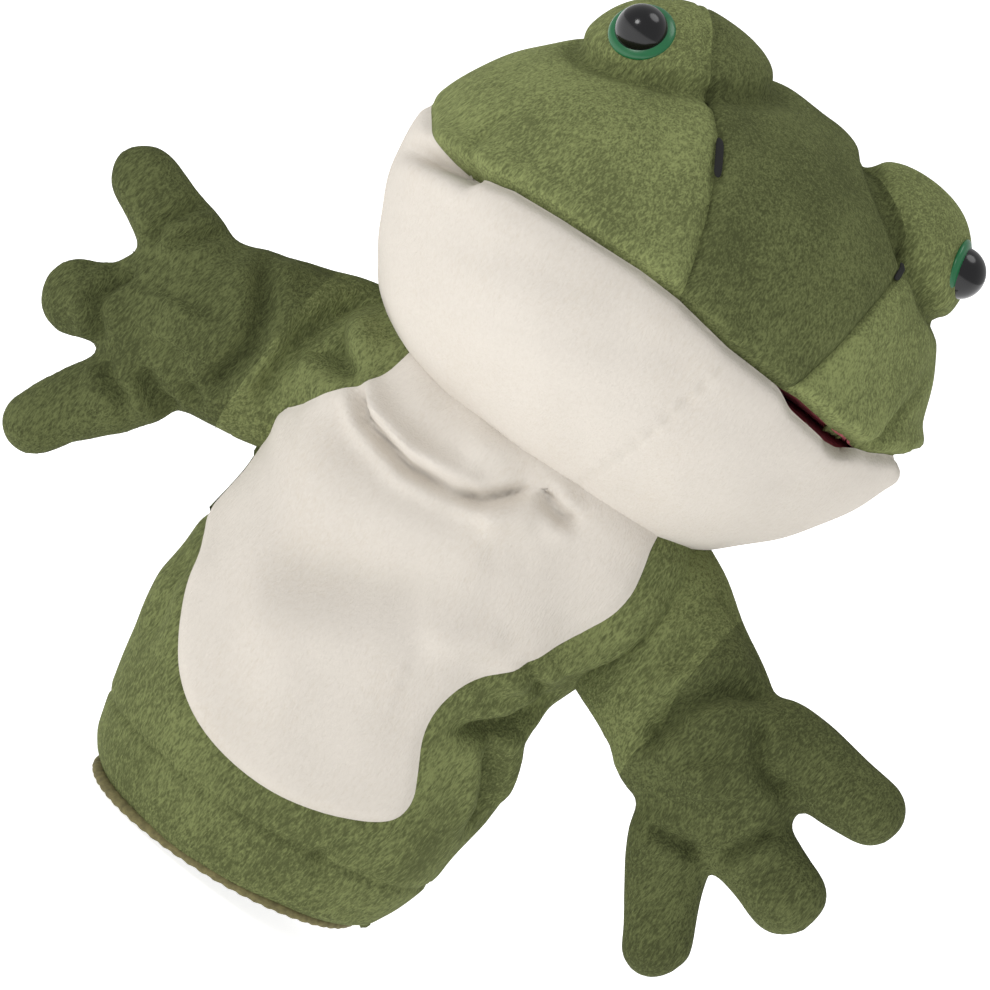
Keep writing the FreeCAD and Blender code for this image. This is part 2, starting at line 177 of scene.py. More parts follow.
def limb(name, start, start_half, end, end_half, flat=1.0):
    """A stuffed sausage between two centres; flat scales its depth along Y."""
    clear_selection()
    bpy.ops.mesh.primitive_uv_sphere_add(segments=48, ring_count=40, radius=1.0)
    piece = bpy.context.object
    piece.name = name
    points = points_of(piece) / 1000
    start, end = np.array(start, float), np.array(end, float)
    axis = end - start
    axis /= np.linalg.norm(axis)
    across = np.cross([0.0, 1.0, 0.0], axis)
    across /= np.linalg.norm(across)
    depth = np.cross(axis, across)
    top = points[:, 2:3] > 0
    size = np.where(top, end_half, start_half)
    middle = np.where(top, end, start)
    offset = points[:, :1] * across + points[:, 1:2] * depth * flat + points[:, 2:3] * axis
    place_points(piece, middle + size * offset)
    return piece


def sew_solid(name, parts, voxel, rounds=6):
    """Join stuffed parts into one skin by a voxel remesh, and relax it."""
    choose(*parts)
    bpy.ops.object.join()
    piece = bpy.context.object
    piece.name = name
    finish_modifier(piece, "REMESH", "Skin", mode="VOXEL", voxel_size=voxel / 1000)
    finish_modifier(piece, "SMOOTH", "Relax", factor=0.5, iterations=rounds)
    return piece


def near_path(points, path):
    """Distance of each point from a path, and how far along it (0 to 1) it lies."""
    path = np.asarray(path, float)
    lengths = np.linalg.norm(np.diff(path, axis=0), axis=1)
    before = np.concatenate([[0.0], np.cumsum(lengths)])
    best = np.full(len(points), 1e9)
    share = np.zeros(len(points))
    for index, (a, b) in enumerate(zip(path, path[1:])):
        step = b - a
        t = np.clip((points - a) @ step / (step @ step), 0, 1)
        distance = np.linalg.norm(points - a - t[:, None] * step, axis=1)
        closer = distance < best
        best[closer] = distance[closer]
        share[closer] = (before[index] + t[closer] * lengths[index]) / before[-1]
    return best, share


def smooth_step(value):
    """0 below 0, 1 above 1, smooth between."""
    value = np.clip(value, 0, 1)
    return value * value * (3 - 2 * value)


def bell(value, width):
    """1 at 0, falling away smoothly over this width."""
    return np.exp(-((value / width) ** 2))


def furrow(distance, width):
    """Cross-section of a fold: a dip with a soft swelling on both sides."""
    return bell(distance, width) - 0.28 * bell(distance - 2.4 * width, 1.3 * width)


def press_folds(base, points, normals, seam, folds, strength, shade, taper, where=1.0):
    """Press each fold into the cloth and paint shade into its bottom; a negative depth raises a roll."""
    for path, width, depth in folds:
        distance, share = near_path(base, path)
        ends = smooth_step(share / taper) * smooth_step((1 - share) / taper) * where
        points -= normals * (strength * depth * ends * furrow(distance, width))[:, None]
        # painted shade at the bottom of each pressed fold
        seam += shade * max(depth, 0) * ends * bell(distance, 0.5 * width)


def ripple(points, size, seed):
    """Soft uneven waves between about -1 and 1, of this size in millimetres."""
    chance = np.random.default_rng(seed)
    total = np.zeros(len(points))
    for _ in range(6):
        direction = chance.normal(size=3)
        direction /= np.linalg.norm(direction)
        wave = 2 * np.pi / (size * chance.uniform(0.7, 1.5))
        total += np.sin(points @ direction * wave + chance.uniform(0, 6.28))
    return total / 2.5


def cut_along(piece, field):
    """Put a clean edge loop where the field (one value per point) is zero."""
    mesh = bmesh.new()
    mesh.from_mesh(piece.data)
    mesh.verts.ensure_lookup_table()
    value = dict(zip(mesh.verts, field))
    crossing = [e for e in mesh.edges if value[e.verts[0]] * value[e.verts[1]] < 0]
    fresh = []
    for edge in crossing:
        first, second = edge.verts
        a, b = value[first], value[second]
        share = min(max(a / (a - b), 0.02), 0.98)
        fresh.append(bmesh.utils.edge_split(edge, first, share)[1])
    bmesh.ops.connect_verts(mesh, verts=fresh)
    mesh.to_mesh(piece.data)
    mesh.free()
    return piece


def part_by(piece, names, owner):
    """Split a skin into named pieces; owner gives each face's piece by number."""
    mesh = piece.data
    normals = normals_of(piece)
    points = points_of(piece)
    layers = {}
    for layer in mesh.attributes:
        if layer.domain == "POINT" and layer.data_type == "FLOAT":
            values = np.empty(len(mesh.vertices))
            layer.data.foreach_get("value", values)
            layers[layer.name] = values
    corners = [tuple(polygon.vertices) for polygon in mesh.polygons]
    made = {}
    for number, name in enumerate(names):
        faces = [corners[i] for i in np.flatnonzero(owner == number)]
        used = sorted({v for face in faces for v in face})
        index = {v: i for i, v in enumerate(used)}
        data = bpy.data.meshes.new(name)
        data.from_pydata(
            (points[used] / 1000).tolist(), [], [[index[v] for v in face] for face in faces]
        )
        item = bpy.data.objects.new(name, data)
        bpy.context.scene.collection.objects.link(item)
        outward = data.attributes.new("outward", "FLOAT_VECTOR", "POINT")
        outward.data.foreach_set("vector", normals[used].ravel())
        for label, values in layers.items():
            note(item, label, values[used])
        made[name] = item
    bpy.data.objects.remove(piece)
    return made


def give_thickness(piece, cloth):
    """Turn a skin inwards into cloth, with the outer shading unbroken at its seams."""
    outside = len(piece.data.polygons)
    mesh = piece.data
    mesh.polygons.foreach_set("use_smooth", [True] * outside)
    finish_modifier(
        piece, "SOLIDIFY", "Cloth", thickness=cloth / 1000, offset=-1.0, use_even_offset=False
    )
    mesh = piece.data
    outward = np.empty(len(mesh.vertices) * 3)
    mesh.attributes["outward"].data.foreach_get("vector", outward)
    outward = outward.reshape(-1, 3)
    loops = np.zeros((len(mesh.loops), 3))
    corner = np.empty(len(mesh.loops), dtype=np.int64)
    mesh.loops.foreach_get("vertex_index", corner)
    last = mesh.polygons[outside - 1]
    end = last.loop_start + last.loop_total
    loops[:end] = outward[corner[:end]]
    mesh.normals_split_custom_set(loops.tolist())
    mesh.attributes.remove(mesh.attributes["outward"])
    return piece


def note(piece, name, values):
    """Store one number per point, for a material to read."""
    layer = piece.data.attributes.get(name) or piece.data.attributes.new(name, "FLOAT", "POINT")
    layer.data.foreach_set("value", np.asarray(values, dtype=np.float32))


# ------------------------------------------------------------------ cloth and other finishes
def node(tree, kind, **settings):
    """One shader node; a keyword with a leading underscore sets the input of that name."""
    made = tree.nodes.new(kind)
    for key, value in settings.items():
        if key.startswith("_"):
            made.inputs[key[1:].replace("_", " ")].default_value = value
        else:
            setattr(made, key, value)
    return made


def blank_material(name):
    """A material with one Principled shader."""
    made = bpy.data.materials.new(name)
    made.use_nodes = True
    return made, made.node_tree, made.node_tree.nodes["Principled BSDF"]


def pile_noise(tree, place, scale, stretch, turn, detail=2.0):
    """Noise drawn out along the lie of the pile."""
    lay = node(tree, "ShaderNodeMapping", _Rotation=turn, _Scale=stretch)
    noise = node(tree, "ShaderNodeTexNoise", _Scale=scale, _Detail=detail, _Roughness=0.55)
    tree.links.new(place, lay.inputs["Vector"])
    tree.links.new(lay.outputs["Vector"], noise.inputs["Vector"])
    return noise.outputs["Fac"]


def weigh(tree, first, amount, second):
    """first times amount, plus second."""
    made = node(tree, "ShaderNodeMath", operation="MULTIPLY_ADD")
    made.inputs[1].default_value = amount
    tree.links.new(first, made.inputs[0])
    if isinstance(second, float):
        made.inputs[2].default_value = second
    else:
        tree.links.new(second, made.inputs[2])
    return made.outputs[0]


def plush(name, deep, middle, light, turn, fine=0.75, clouds=0.28, relief=1.0, groove_shade=0.45):
    """Short-pile plush: fine nap streaks, brushed clouds, painted shade along seams and in fold bottoms, a
    soft sheen.
    """
    made, tree, shader = blank_material(name)
    shader.inputs["Roughness"].default_value = 0.95
    shader.inputs["Specular IOR Level"].default_value = 0.1
    shader.inputs["Sheen Weight"].default_value = 0.22
    shader.inputs["Sheen Roughness"].default_value = 0.5
    shader.inputs["Sheen Tint"].default_value = (*light, 1.0)
    place = node(tree, "ShaderNodeTexCoord").outputs["Object"]
    drift = node(tree, "ShaderNodeTexNoise", _Scale=26.0, _Detail=1.0)
    tree.links.new(place, drift.inputs["Vector"])
    swirl = node(tree, "ShaderNodeVectorMath", operation="MULTIPLY_ADD")
    swirl.inputs[1].default_value = (0.006, 0.006, 0.006)
    tree.links.new(drift.outputs["Color"], swirl.inputs[0])
    tree.links.new(place, swirl.inputs[2])
    brushed = swirl.outputs[0]
    hairs = pile_noise(tree, brushed, 1900.0, (1.0, 1.0, 0.33), turn, 1.0)
    tufts = pile_noise(tree, brushed, 850.0, (1.0, 1.0, 0.4), turn)
    cloud = pile_noise(tree, place, 38.0, (1.0, 1.0, 0.8), turn)
    mixed = weigh(tree, tufts, 0.45, weigh(tree, hairs, 0.55, 0.0))
    shade = weigh(tree, cloud, clouds, weigh(tree, mixed, fine, 0.5 - 0.5 * (clouds + fine)))
    ramp = node(tree, "ShaderNodeValToRGB")
    ramp.color_ramp.elements[0].position = 0.41
    ramp.color_ramp.elements[0].color = (*deep, 1.0)
    ramp.color_ramp.elements[1].position = 0.59
    ramp.color_ramp.elements[1].color = (*light, 1.0)
    ramp.color_ramp.elements.new(0.5).color = (*middle, 1.0)
    tree.links.new(shade, ramp.inputs["Fac"])
    # painted shade: a per-point mark from the shaping steps multiplies the pile colour darker along seams,
    # creases and fold bottoms
    seam = node(tree, "ShaderNodeAttribute", attribute_name="seam")
    dark = node(tree, "ShaderNodeMix", data_type="RGBA", blend_type="MULTIPLY")
    dark.inputs[7].default_value = (groove_shade, groove_shade, groove_shade * 0.95, 1.0)
    tree.links.new(seam.outputs["Fac"], dark.inputs[0])
    tree.links.new(ramp.outputs["Color"], dark.inputs[6])
    tree.links.new(dark.outputs[2], shader.inputs["Base Color"])
    bump = node(tree, "ShaderNodeBump", _Strength=relief, _Distance=0.0009)
    tree.links.new(mixed, bump.inputs["Height"])
    tree.links.new(bump.outputs["Normal"], shader.inputs["Normal"])
    return made


def smooth_finish(name, colour, rough, coat=0.0):
    """An even moulded or dyed finish."""
    made, _, shader = blank_material(name)
    shader.inputs["Base Color"].default_value = (*colour, 1.0)
    shader.inputs["Roughness"].default_value = rough
    shader.inputs["Coat Weight"].default_value = coat
    return made


def woven(name, colour, scale=700.0):
    """Thin woven lining with a faint grain."""
    made, tree, shader = blank_material(name)
    place = node(tree, "ShaderNodeTexCoord").outputs["Object"]
    grain = pile_noise(tree, place, scale, (1.0, 1.0, 1.0), (0.3, 0.2, 0.1))
    ramp = node(tree, "ShaderNodeValToRGB")
    ramp.color_ramp.elements[0].position = 0.3
    ramp.color_ramp.elements[0].color = (*(0.7 * c for c in colour), 1.0)
    ramp.color_ramp.elements[1].position = 0.7
    ramp.color_ramp.elements[1].color = (*(min(1.0, 1.2 * c) for c in colour), 1.0)
    tree.links.new(grain, ramp.inputs["Fac"])
    tree.links.new(ramp.outputs["Color"], shader.inputs["Base Color"])
    shader.inputs["Roughness"].default_value = 0.85
    bump = node(tree, "ShaderNodeBump", _Strength=0.4, _Distance=0.0004)
    tree.links.new(grain, bump.inputs["Height"])
    tree.links.new(bump.outputs["Normal"], shader.inputs["Normal"])
    return made


def wear(piece, material):
    """Give a piece one material all over."""
    piece.data.materials.clear()
    piece.data.materials.append(material)
    return piece


def finish_of(key):
    """One of the puppet's materials, made on first use."""
    settings = bpy.context.scene.frog_puppet
    label, build = FINISHES[key]
    return bpy.data.materials.get(label) or build(label, settings)


def green_pile(turn, painted_light_level=1.0):
    """The green plush with its pile lying this way; the second number scales its colour up or down, painted
    light and shade for how brightly each area is lit.
    """

    def build(label, settings):
        middle = tuple(painted_light_level * c for c in settings.green)
        deep = tuple(0.66 * c for c in middle)
        light = tuple(1.42 * c for c in middle)
        return plush(label, deep, middle, light, turn)

    return build


def cream_pile(label, settings):
    """The pale plush of the jaw and belly."""
    middle = tuple(settings.cream)
    deep = tuple(c * f for c, f in zip(middle, (0.95, 0.935, 0.91)))
    light = tuple(min(0.92, 1.04 * c) for c in middle)
    return plush(label, deep, middle, light, (0.4, 0.3, 0.0), 0.35, 0.16, 0.35, 0.78)


# The four greens are one plush with painted light and shade: head sides painted brightest as lit, hands
# darkest as shaded, body and nose between.
FINISHES = {
    "green_body": ("Green plush, body", green_pile((0.0, 1.2, 0.0), 1.18)),
    "green_nose": ("Green plush, nose", green_pile((0.0, 1.45, 0.45), 0.95)),
    "green_side": ("Green plush, head sides", green_pile((0.5, 0.9, 0.3), 1.55)),
    "green_hand": ("Green plush, hands", green_pile((0.3, 0.5, 0.3), 0.76)),
    "cream": ("Cream plush", cream_pile),
    "hem": ("Hem edge", lambda label, s: woven(label, tuple(s.hem_colour))),
    "pink": ("Mouth lining", lambda label, s: woven(label, tuple(s.mouth_colour))),
    "pocket": ("Pocket cloth", lambda label, s: woven(label, (0.30, 0.34, 0.22), 500.0)),
    "thread": ("Black thread", lambda label, s: smooth_finish(label, (0.002, 0.002, 0.002), 0.8)),
    "iris": ("Eye ring", lambda label, s: smooth_finish(label, tuple(s.iris_colour), 0.25)),
    "pupil": ("Pupil", lambda label, s: smooth_finish(label, (0.002, 0.002, 0.003), 0.16)),
    "board": ("Mouth board", lambda label, s: smooth_finish(label, (0.45, 0.40, 0.32), 0.7)),
    "filling": ("Filling", lambda label, s: woven(label, (0.8, 0.8, 0.78), 200.0)),
}


# ------------------------------------------------------------------ head
CROWN = np.array([88.0, 72.0, 75.0])  # half width, half depth, rise over the mouth
JAW = np.array([88.0, 72.0, 57.0])
CORNER_DEPTH = -32.0  # where green and cream leave the mouth's line
NAPE_DEPTH = 32.0
CROWN_BACK = 14.0
# the mouth's line: sideways place and height, drooping to the right
MOUTH_LINE = (
    (-90, 5), (-80, 6.5), (-69, 8.5), (-54, 8), (-43, 7.2), (-30, 6.6), (-16, 4.7), (-6, 2.2),
    (3, 0), (12, -1), (21, -2), (31, -3.5), (41, -5), (50, -6.5), (60, -6.2), (67, -4.5), (79, 0), (90, 1),
)
# the seams beside the nose: height and sideways place
NOSE_SEAM_LEFT = (
    (-6, -15.6), (5, -16.6), (17, -17.8), (33, -20), (43, -21.6), (52, -23.4), (60, -27), (70, -32),
    (82, -34),
)
NOSE_SEAM_RIGHT = (
    (-6, 24), (0, 26.5), (9, 31.5), (26, 38), (36, 42.5), (46, 47), (56, 44), (66, 34), (80, 22),
)
CHIN_SEAM = (
    (4, -72, -4), (3, -70.5, -11), (1, -66.5, -21.5), (-0.5, -60, -31), (-1.2, -50.5, -40.5),
    (-1.5, -36, -49), (0, -20, -54.5),
)
EYE_BUMPS = {
    # side: centre, half sizes, place of the eye, the way the eye looks
    "left": ((-28, -11, 56), (33, 25, 27), (-51.3, -24.5, 67.0), (-0.62, -0.66, 0.42)),
    "right": ((48, -15, 48.5), (27, 25, 25), (67.6, -28.5, 54.2), (0.86, -0.48, 0.18)),
}


def mouth_line(points):
    """Height of the mouth's line at each place."""
    across, height = np.array(MOUTH_LINE, float).T
    return np.interp(points[:, 0], across, height)


def cheek_seam(points):
    """Height of the join between green and cream, rising behind the mouth's corners."""
    rise = 0.42 * (points[:, 1] - CORNER_DEPTH)
    return mouth_line(points) + 14 * smooth_step(rise / 21)


def nose_seams(points):
    """Sideways place of the two seams beside the nose."""
    seams = []
    for path in (NOSE_SEAM_LEFT, NOSE_SEAM_RIGHT):
        height, across = np.array(path, float).T
        seams.append(np.interp(points[:, 2], height, across))
    return seams


def ellipsoid_depth(points, centre, half):
    """About how far, in millimetres, points lie outside an ellipsoid."""
    scaled = (points - np.array(centre)) / np.array(half)
    reach = np.linalg.norm(scaled, axis=1)
    slope = np.linalg.norm(scaled / np.array(half), axis=1) / np.maximum(reach, 1e-6)
    return (reach - 1) / slope


def head_skin(detail):
    """One skin round the stuffed head and its eye bumps, in the head's own millimetres."""
    skull = pad("Skull", (0, 0, 0), (1, 1, 1), 6)
    points = points_of(skull)
    drop = np.where(points[:, 2] > 0, CROWN[2], JAW[2])
    place_points(skull, points * np.column_stack([0 * drop + CROWN[0], 0 * drop + CROWN[1], drop]))
    bumps = [pad("Bump", centre, half, 5) for centre, half, *_ in EYE_BUMPS.values()]
    return sew_solid("Head", [skull, *bumps], detail, 5)


def shape_head(skin):
    """Work the seams, lips, corners, lobes and soft dents into the head, with painted shade along the seams,
    the lips' line, the bump joins and the lobe edges.
    """
    base = points_of(skin)
    normals = normals_of(skin)
    x, y, z = base.T
    seam = np.zeros(len(base))
    points = base.copy()
    mouth = z - mouth_line(base)

    joined = np.zeros(len(base))
    on_crown = ellipsoid_depth(base, (0, 0, 0), CROWN)
    for centre, half, *_ in EYE_BUMPS.values():
        on_bump = ellipsoid_depth(base, centre, half)
        joined += np.exp(-(on_bump**2 + on_crown**2) / 8.0)
    joined *= 0.35 + 0.65 * smooth_step((10 - y) / 15)
    points -= normals * (2.6 * joined)[:, None]
    # painted shade in the crease where each eye bump meets the crown
    seam += 0.5 * joined

    on_top = smooth_step((on_crown - 0.5) / 2)
    upper_front = smooth_step((mouth - 1) / 3) * smooth_step((14 - y) / 6) * (1 - on_top)
    for edge in nose_seams(base):
        away = x - edge
        points -= normals * (1.3 * upper_front * bell(away, 1.7))[:, None]
        points += normals * (0.7 * upper_front * bell(np.abs(away) - 7, 5))[:, None]
        # painted shade along the nose's side seams
        seam += 0.7 * upper_front * bell(away, 0.8)

    for edge in nose_seams(base):
        for shift in (-1.4, 1.4):
            stitch = on_top * bell(x - edge - shift, 0.7)
            points -= normals * (0.6 * stitch)[:, None]
            # painted shade in the stitch dents on the crown
            seam += 0.40 * stitch

    distance, share = near_path(base, CHIN_SEAM)
    chin = bell(distance, 1.6) * smooth_step(share / 0.1) * (0.6 + 0.4 * np.sin(share * 70))
    points -= normals * (0.8 * chin)[:, None]
    # painted shade along the stitching under the chin
    seam += 0.22 * bell(distance, 0.8)

    rim = z - cheek_seam(base)
    before_nape = smooth_step((NAPE_DEPTH + 4 - y) / 6) * smooth_step((y - CORNER_DEPTH) / 8)
    points -= normals * (1.2 * before_nape * bell(rim, 2.0))[:, None]
    # painted shade along the join of green and cream
    seam += 0.3 * before_nape * bell(rim, 0.8)
    nape = smooth_step((cheek_seam(base) - z) / 5)
    points -= normals * (1.1 * nape * bell(y - NAPE_DEPTH, 1.8))[:, None]
    # painted shade along the nape's stitching
    seam += 0.4 * nape * bell(y - NAPE_DEPTH, 0.9)

    in_front = smooth_step((FOLD_DEPTH + 4 - y) / 10)
    lip = in_front * bell(mouth, 1.8)
    points -= normals * (3.0 * lip)[:, None]
    points += normals * (1.6 * in_front * bell(mouth - 5, 4))[:, None]
    points += normals * (0.8 * in_front * bell(mouth + 7, 6))[:, None]
    # painted shade in the crease of the mouth's line
    seam += 0.7 * in_front * bell(mouth, 1.0)

    # corner creases run on into the cheeks
    for path in (
        ((-78, -31, 6), (-84, -20, 6.5), (-86, -10, 6.2), (-88, 3, 5), (-87, 12, 3.6)),
        ((78, -31, 0), (84, -20, 0.5), (87, -8, 0.5), (88, 3, 0), (87, 12, -1)),
    ):
        distance, share = near_path(base, path)
        points -= normals * (4.0 * furrow(distance, 2.6) * smooth_step((1 - share) / 0.5))[:, None]
    # the upper lip ends in a rounded lobe on each side
    for path, depth in (
        (((50, -59, -5), (58, -53, -5), (64, -50, -1), (67, -46, 6), (70, -41, 16), (71, -32, 30)), 3.8),
        (((-79, -31, 8), (-79.6, -28, 14), (-77.5, -27, 21), (-74.7, -27, 28), (-69, -28, 35)), 1.5),
    ):
        distance, share = near_path(base, path)
        fade = smooth_step((1 - share) / 0.7)
        points -= normals * (depth * fade * bell(distance, 2.8))[:, None]
        # painted shade along the furrow at each lobe's edge
        seam += 0.25 * depth / 3.8 * fade * bell(distance, 1.4)
    lobe = np.exp(-(((x - 54) / 12) ** 2 + ((mouth - 7) / 9) ** 2)) * (y < -20)
    points += normals * (2.8 * lobe)[:, None]
    # the jaw is slimmer at the left and fuller below at the right
    points[:, 0] += 5.0 * smooth_step((-x - 50) / 32) * bell(z + 16, 24)
    points[:, 2] -= 6.5 * bell(x - 34, 30) * smooth_step((-z - 8) / 34) * smooth_step((30 - y) / 30)
    points += normals * (0.7 * ripple(base, 52, 3) + 0.25 * ripple(base, 21, 4))[:, None]
    place_points(skin, from_head(points))
    note(skin, "seam", np.clip(seam, 0, 1))


HEAD_CUTS = (
    lambda p: np.where(p[:, 1] < 20, p[:, 2] - mouth_line(p), 1.0),
    lambda p: np.where(p[:, 1] > CORNER_DEPTH - 4, p[:, 2] - cheek_seam(p), 1.0),
    lambda p: p[:, 1] - FOLD_DEPTH,
    lambda p: np.where(p[:, 2] < 24, p[:, 1] - NAPE_DEPTH, 1.0),
    lambda p: np.where((p[:, 2] > -8) & (p[:, 1] < 20), p[:, 0] - nose_seams(p)[0], 1.0),
    lambda p: np.where((p[:, 2] > -8) & (p[:, 1] < 20), p[:, 0] - nose_seams(p)[1], 1.0),
    lambda p: np.where(p[:, 2] > 20, p[:, 1] - CROWN_BACK, 1.0),
    lambda p: np.where(p[:, 2] < 12, p[:, 0] - 1.0, 1.0),
    lambda p: np.where(p[:, 1] > 0, p[:, 2] - 24, 1.0),
)
HEAD_PIECES = (
    "face_left", "face_right", "nose", "head_back",
    "temple_left", "temple_right", "jaw_left", "jaw_right",
    "cheek_left", "cheek_right", "nape", "corner_left", "corner_right",
)


def head_owner(points):
    """Which of HEAD_PIECES each place on the skin belongs to."""
    x, y, z = points.T
    left, right = nose_seams(points)
    front = y < FOLD_DEPTH
    green = z > cheek_seam(points)
    over = z > mouth_line(points)
    panel = np.where(x < left, 0, np.where(x > right, 1, 2))
    owner = np.where(x < 1.0, 8, 9)
    owner = np.where(~front & green, np.where(x < 0, 4, 5), owner)
    owner = np.where(~front & green & (z > 24) & (y < CROWN_BACK), panel, owner)
    owner = np.where(~front & (z > 24) & (y > CROWN_BACK), 3, owner)
    owner = np.where(~front & (z < 24) & (y > NAPE_DEPTH), 10, owner)
    owner = np.where(front & over & green, panel, owner)
    owner = np.where(front & over & ~green, np.where(x < 1.0, 11, 12), owner)
    return np.where(front & ~over, np.where(x < 1.0, 6, 7), owner)


UPPER_LIP = 1.2  # how far each lip draws back where the mouth stands a little open
LOWER_LIP = -2.6


def mouth_gap(across):
    """How far the mouth stands open at each sideways place, from 0 to 1."""
    return smooth_step((across - 22) / 10) * smooth_step((60 - across) / 8)


def part_lips(piece, shift):
    """Draw one lip back from the other where the mouth stands a little open."""
    points = to_head(points_of(piece))
    near = bell(points[:, 2] - mouth_line(points), 7) * (points[:, 1] < -30)
    points[:, 2] += shift * mouth_gap(points[:, 0]) * near
    place_points(piece, from_head(points))


def centres_of(piece):
    """Middle of every face in millimetres."""
    flat = np.empty(len(piece.data.polygons) * 3)
    piece.data.polygons.foreach_get("center", flat)
    return flat.reshape(-1, 3) * 1000


def build_head(settings):
    """Head, jaw, cheeks and nape, cut from one skin along its seams."""
    skin = head_skin(settings.skin_detail * 1000)
    for field in HEAD_CUTS:
        cut_along(skin, field(points_of(skin)))
    owner = head_owner(centres_of(skin))
    shape_head(skin)
    parts = part_by(skin, HEAD_PIECES, owner)
    finishes = dict.fromkeys(HEAD_PIECES, "cream")
    finishes.update(
        face_left="green_side", face_right="green_side", nose="green_nose",
        head_back="green_body", temple_left="green_side", temple_right="green_side", nape="green_body",
    )
    fold = HEAD_CENTRE + HEAD_AXES[1] * FOLD_DEPTH
    start = tuple((fold - 28 * HEAD_AXES[2]) / 1000)
    end = tuple((fold + 22 * HEAD_AXES[2]) / 1000)
    for name in ("face_right", "nose"):
        part_lips(parts[name], UPPER_LIP)
    part_lips(parts["jaw_right"], LOWER_LIP)
    for name, piece in parts.items():
        give_thickness(piece, settings.cloth * 1000)
        wear(piece, finish_of(finishes[name]))
        if name in ("temple_left", "temple_right", "cheek_left", "cheek_right", "nape"):
            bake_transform(piece, "jaw", "head", start, end)
        else:
            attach(piece, "jaw" if name.startswith("jaw") else "head")
    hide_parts("head_center_panel")
    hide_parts("head_back_panel", "head_stuffing")
    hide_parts("jaw_back_panel", "jaw_stuffing")
    for side in ("left", "right"):
        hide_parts(f"head_side_{side}")
        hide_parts(f"jaw_cover_{side}")
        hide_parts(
            f"eye_bump_outer_{side}", f"eye_bump_inner_{side}",
            f"eye_bump_stuffing_{side}",
        )
    return parts


# ------------------------------------------------------------------ eyes, nostrils and mouth
def dome(name, radius, rise, foot, look, rounds=48):
    """Half a ball squeezed to this rise, sitting on its foot and looking out."""
    clear_selection()
    bpy.ops.mesh.primitive_uv_sphere_add(segments=rounds, ring_count=rounds // 2, radius=1.0)
    piece = bpy.context.object
    piece.name = name
    points = points_of(piece) / 1000
    out = np.array(look) / np.linalg.norm(look)
    side = np.cross(out, [0.0, 0.0, 1.0])
    side /= np.linalg.norm(side)
    up = np.cross(side, out)
    lift = np.where(points[:, 2:] > 0, rise, 2.5)
    spots = np.array(foot) + radius * (points[:, :1] * side + points[:, 1:2] * up)
    spots = spots + lift * points[:, 2:] * out
    place_points(piece, from_head(spots))
    piece.data.polygons.foreach_set("use_smooth", [True] * len(piece.data.polygons))
    return piece


def build_eyes(settings):
    """A coloured ring with a glossy black dome on each eye bump."""
    for side, (_, _, foot, look) in EYE_BUMPS.items():
        out = np.array(look) / np.linalg.norm(look)
        foot = np.array(foot)
        radius = settings.eye_width * 500
        ring = wear(dome(f"iris_{side}", radius, 2.6, foot - 0.6 * out, look), finish_of("iris"))
        pupil = wear(
            dome(f"pupil_{side}", radius * 0.79, 7.6, foot + 0.2 * out, look), finish_of("pupil")
        )
        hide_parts(f"eye_ring_{side}", f"eye_shaft_{side}", f"eye_washer_{side}")
        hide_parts(f"eye_pupil_{side}")
        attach(ring, "head")
        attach(pupil, "head")


def build_nostrils():
    """A raised slit of black satin stitch on each of the seams beside the nose."""
    for side, path, low, high in (
        ("left", NOSE_SEAM_LEFT, 40.5, 51.0), ("right", NOSE_SEAM_RIGHT, 42.0, 47.5),
    ):
        clear_selection()
        bpy.ops.mesh.primitive_uv_sphere_add(segments=20, ring_count=60, radius=1.0)
        slit = bpy.context.object
        slit.name = f"stitch_{side}"
        points = points_of(slit) / 1000
        height = (low + high) / 2 + points[:, 2] * (high - low) / 2
        seam_height, across = np.array(path, float).T
        full = (1 - np.abs(points[:, 2]) ** 6) ** 0.5 / np.maximum((1 - points[:, 2] ** 2) ** 0.5, 1e-3)
        stitch = 1 + 0.06 * np.sin(height * 2 * np.pi / 0.45)
        sideways = np.interp(height, seam_height, across) + 1.25 * points[:, 0] * full * stitch
        front = -CROWN[1] * np.sqrt(1 - (sideways / CROWN[0]) ** 2 - (height / CROWN[2]) ** 2)
        place_points(
            slit, from_head(np.column_stack([sideways, front - 0.3 + 0.8 * points[:, 1] * full, height]))
        )
        slit.data.polygons.foreach_set("use_smooth", [True] * len(slit.data.polygons))
        wear(slit, finish_of("thread"))
        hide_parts(f"nostril_{side}")
        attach(slit, "head")


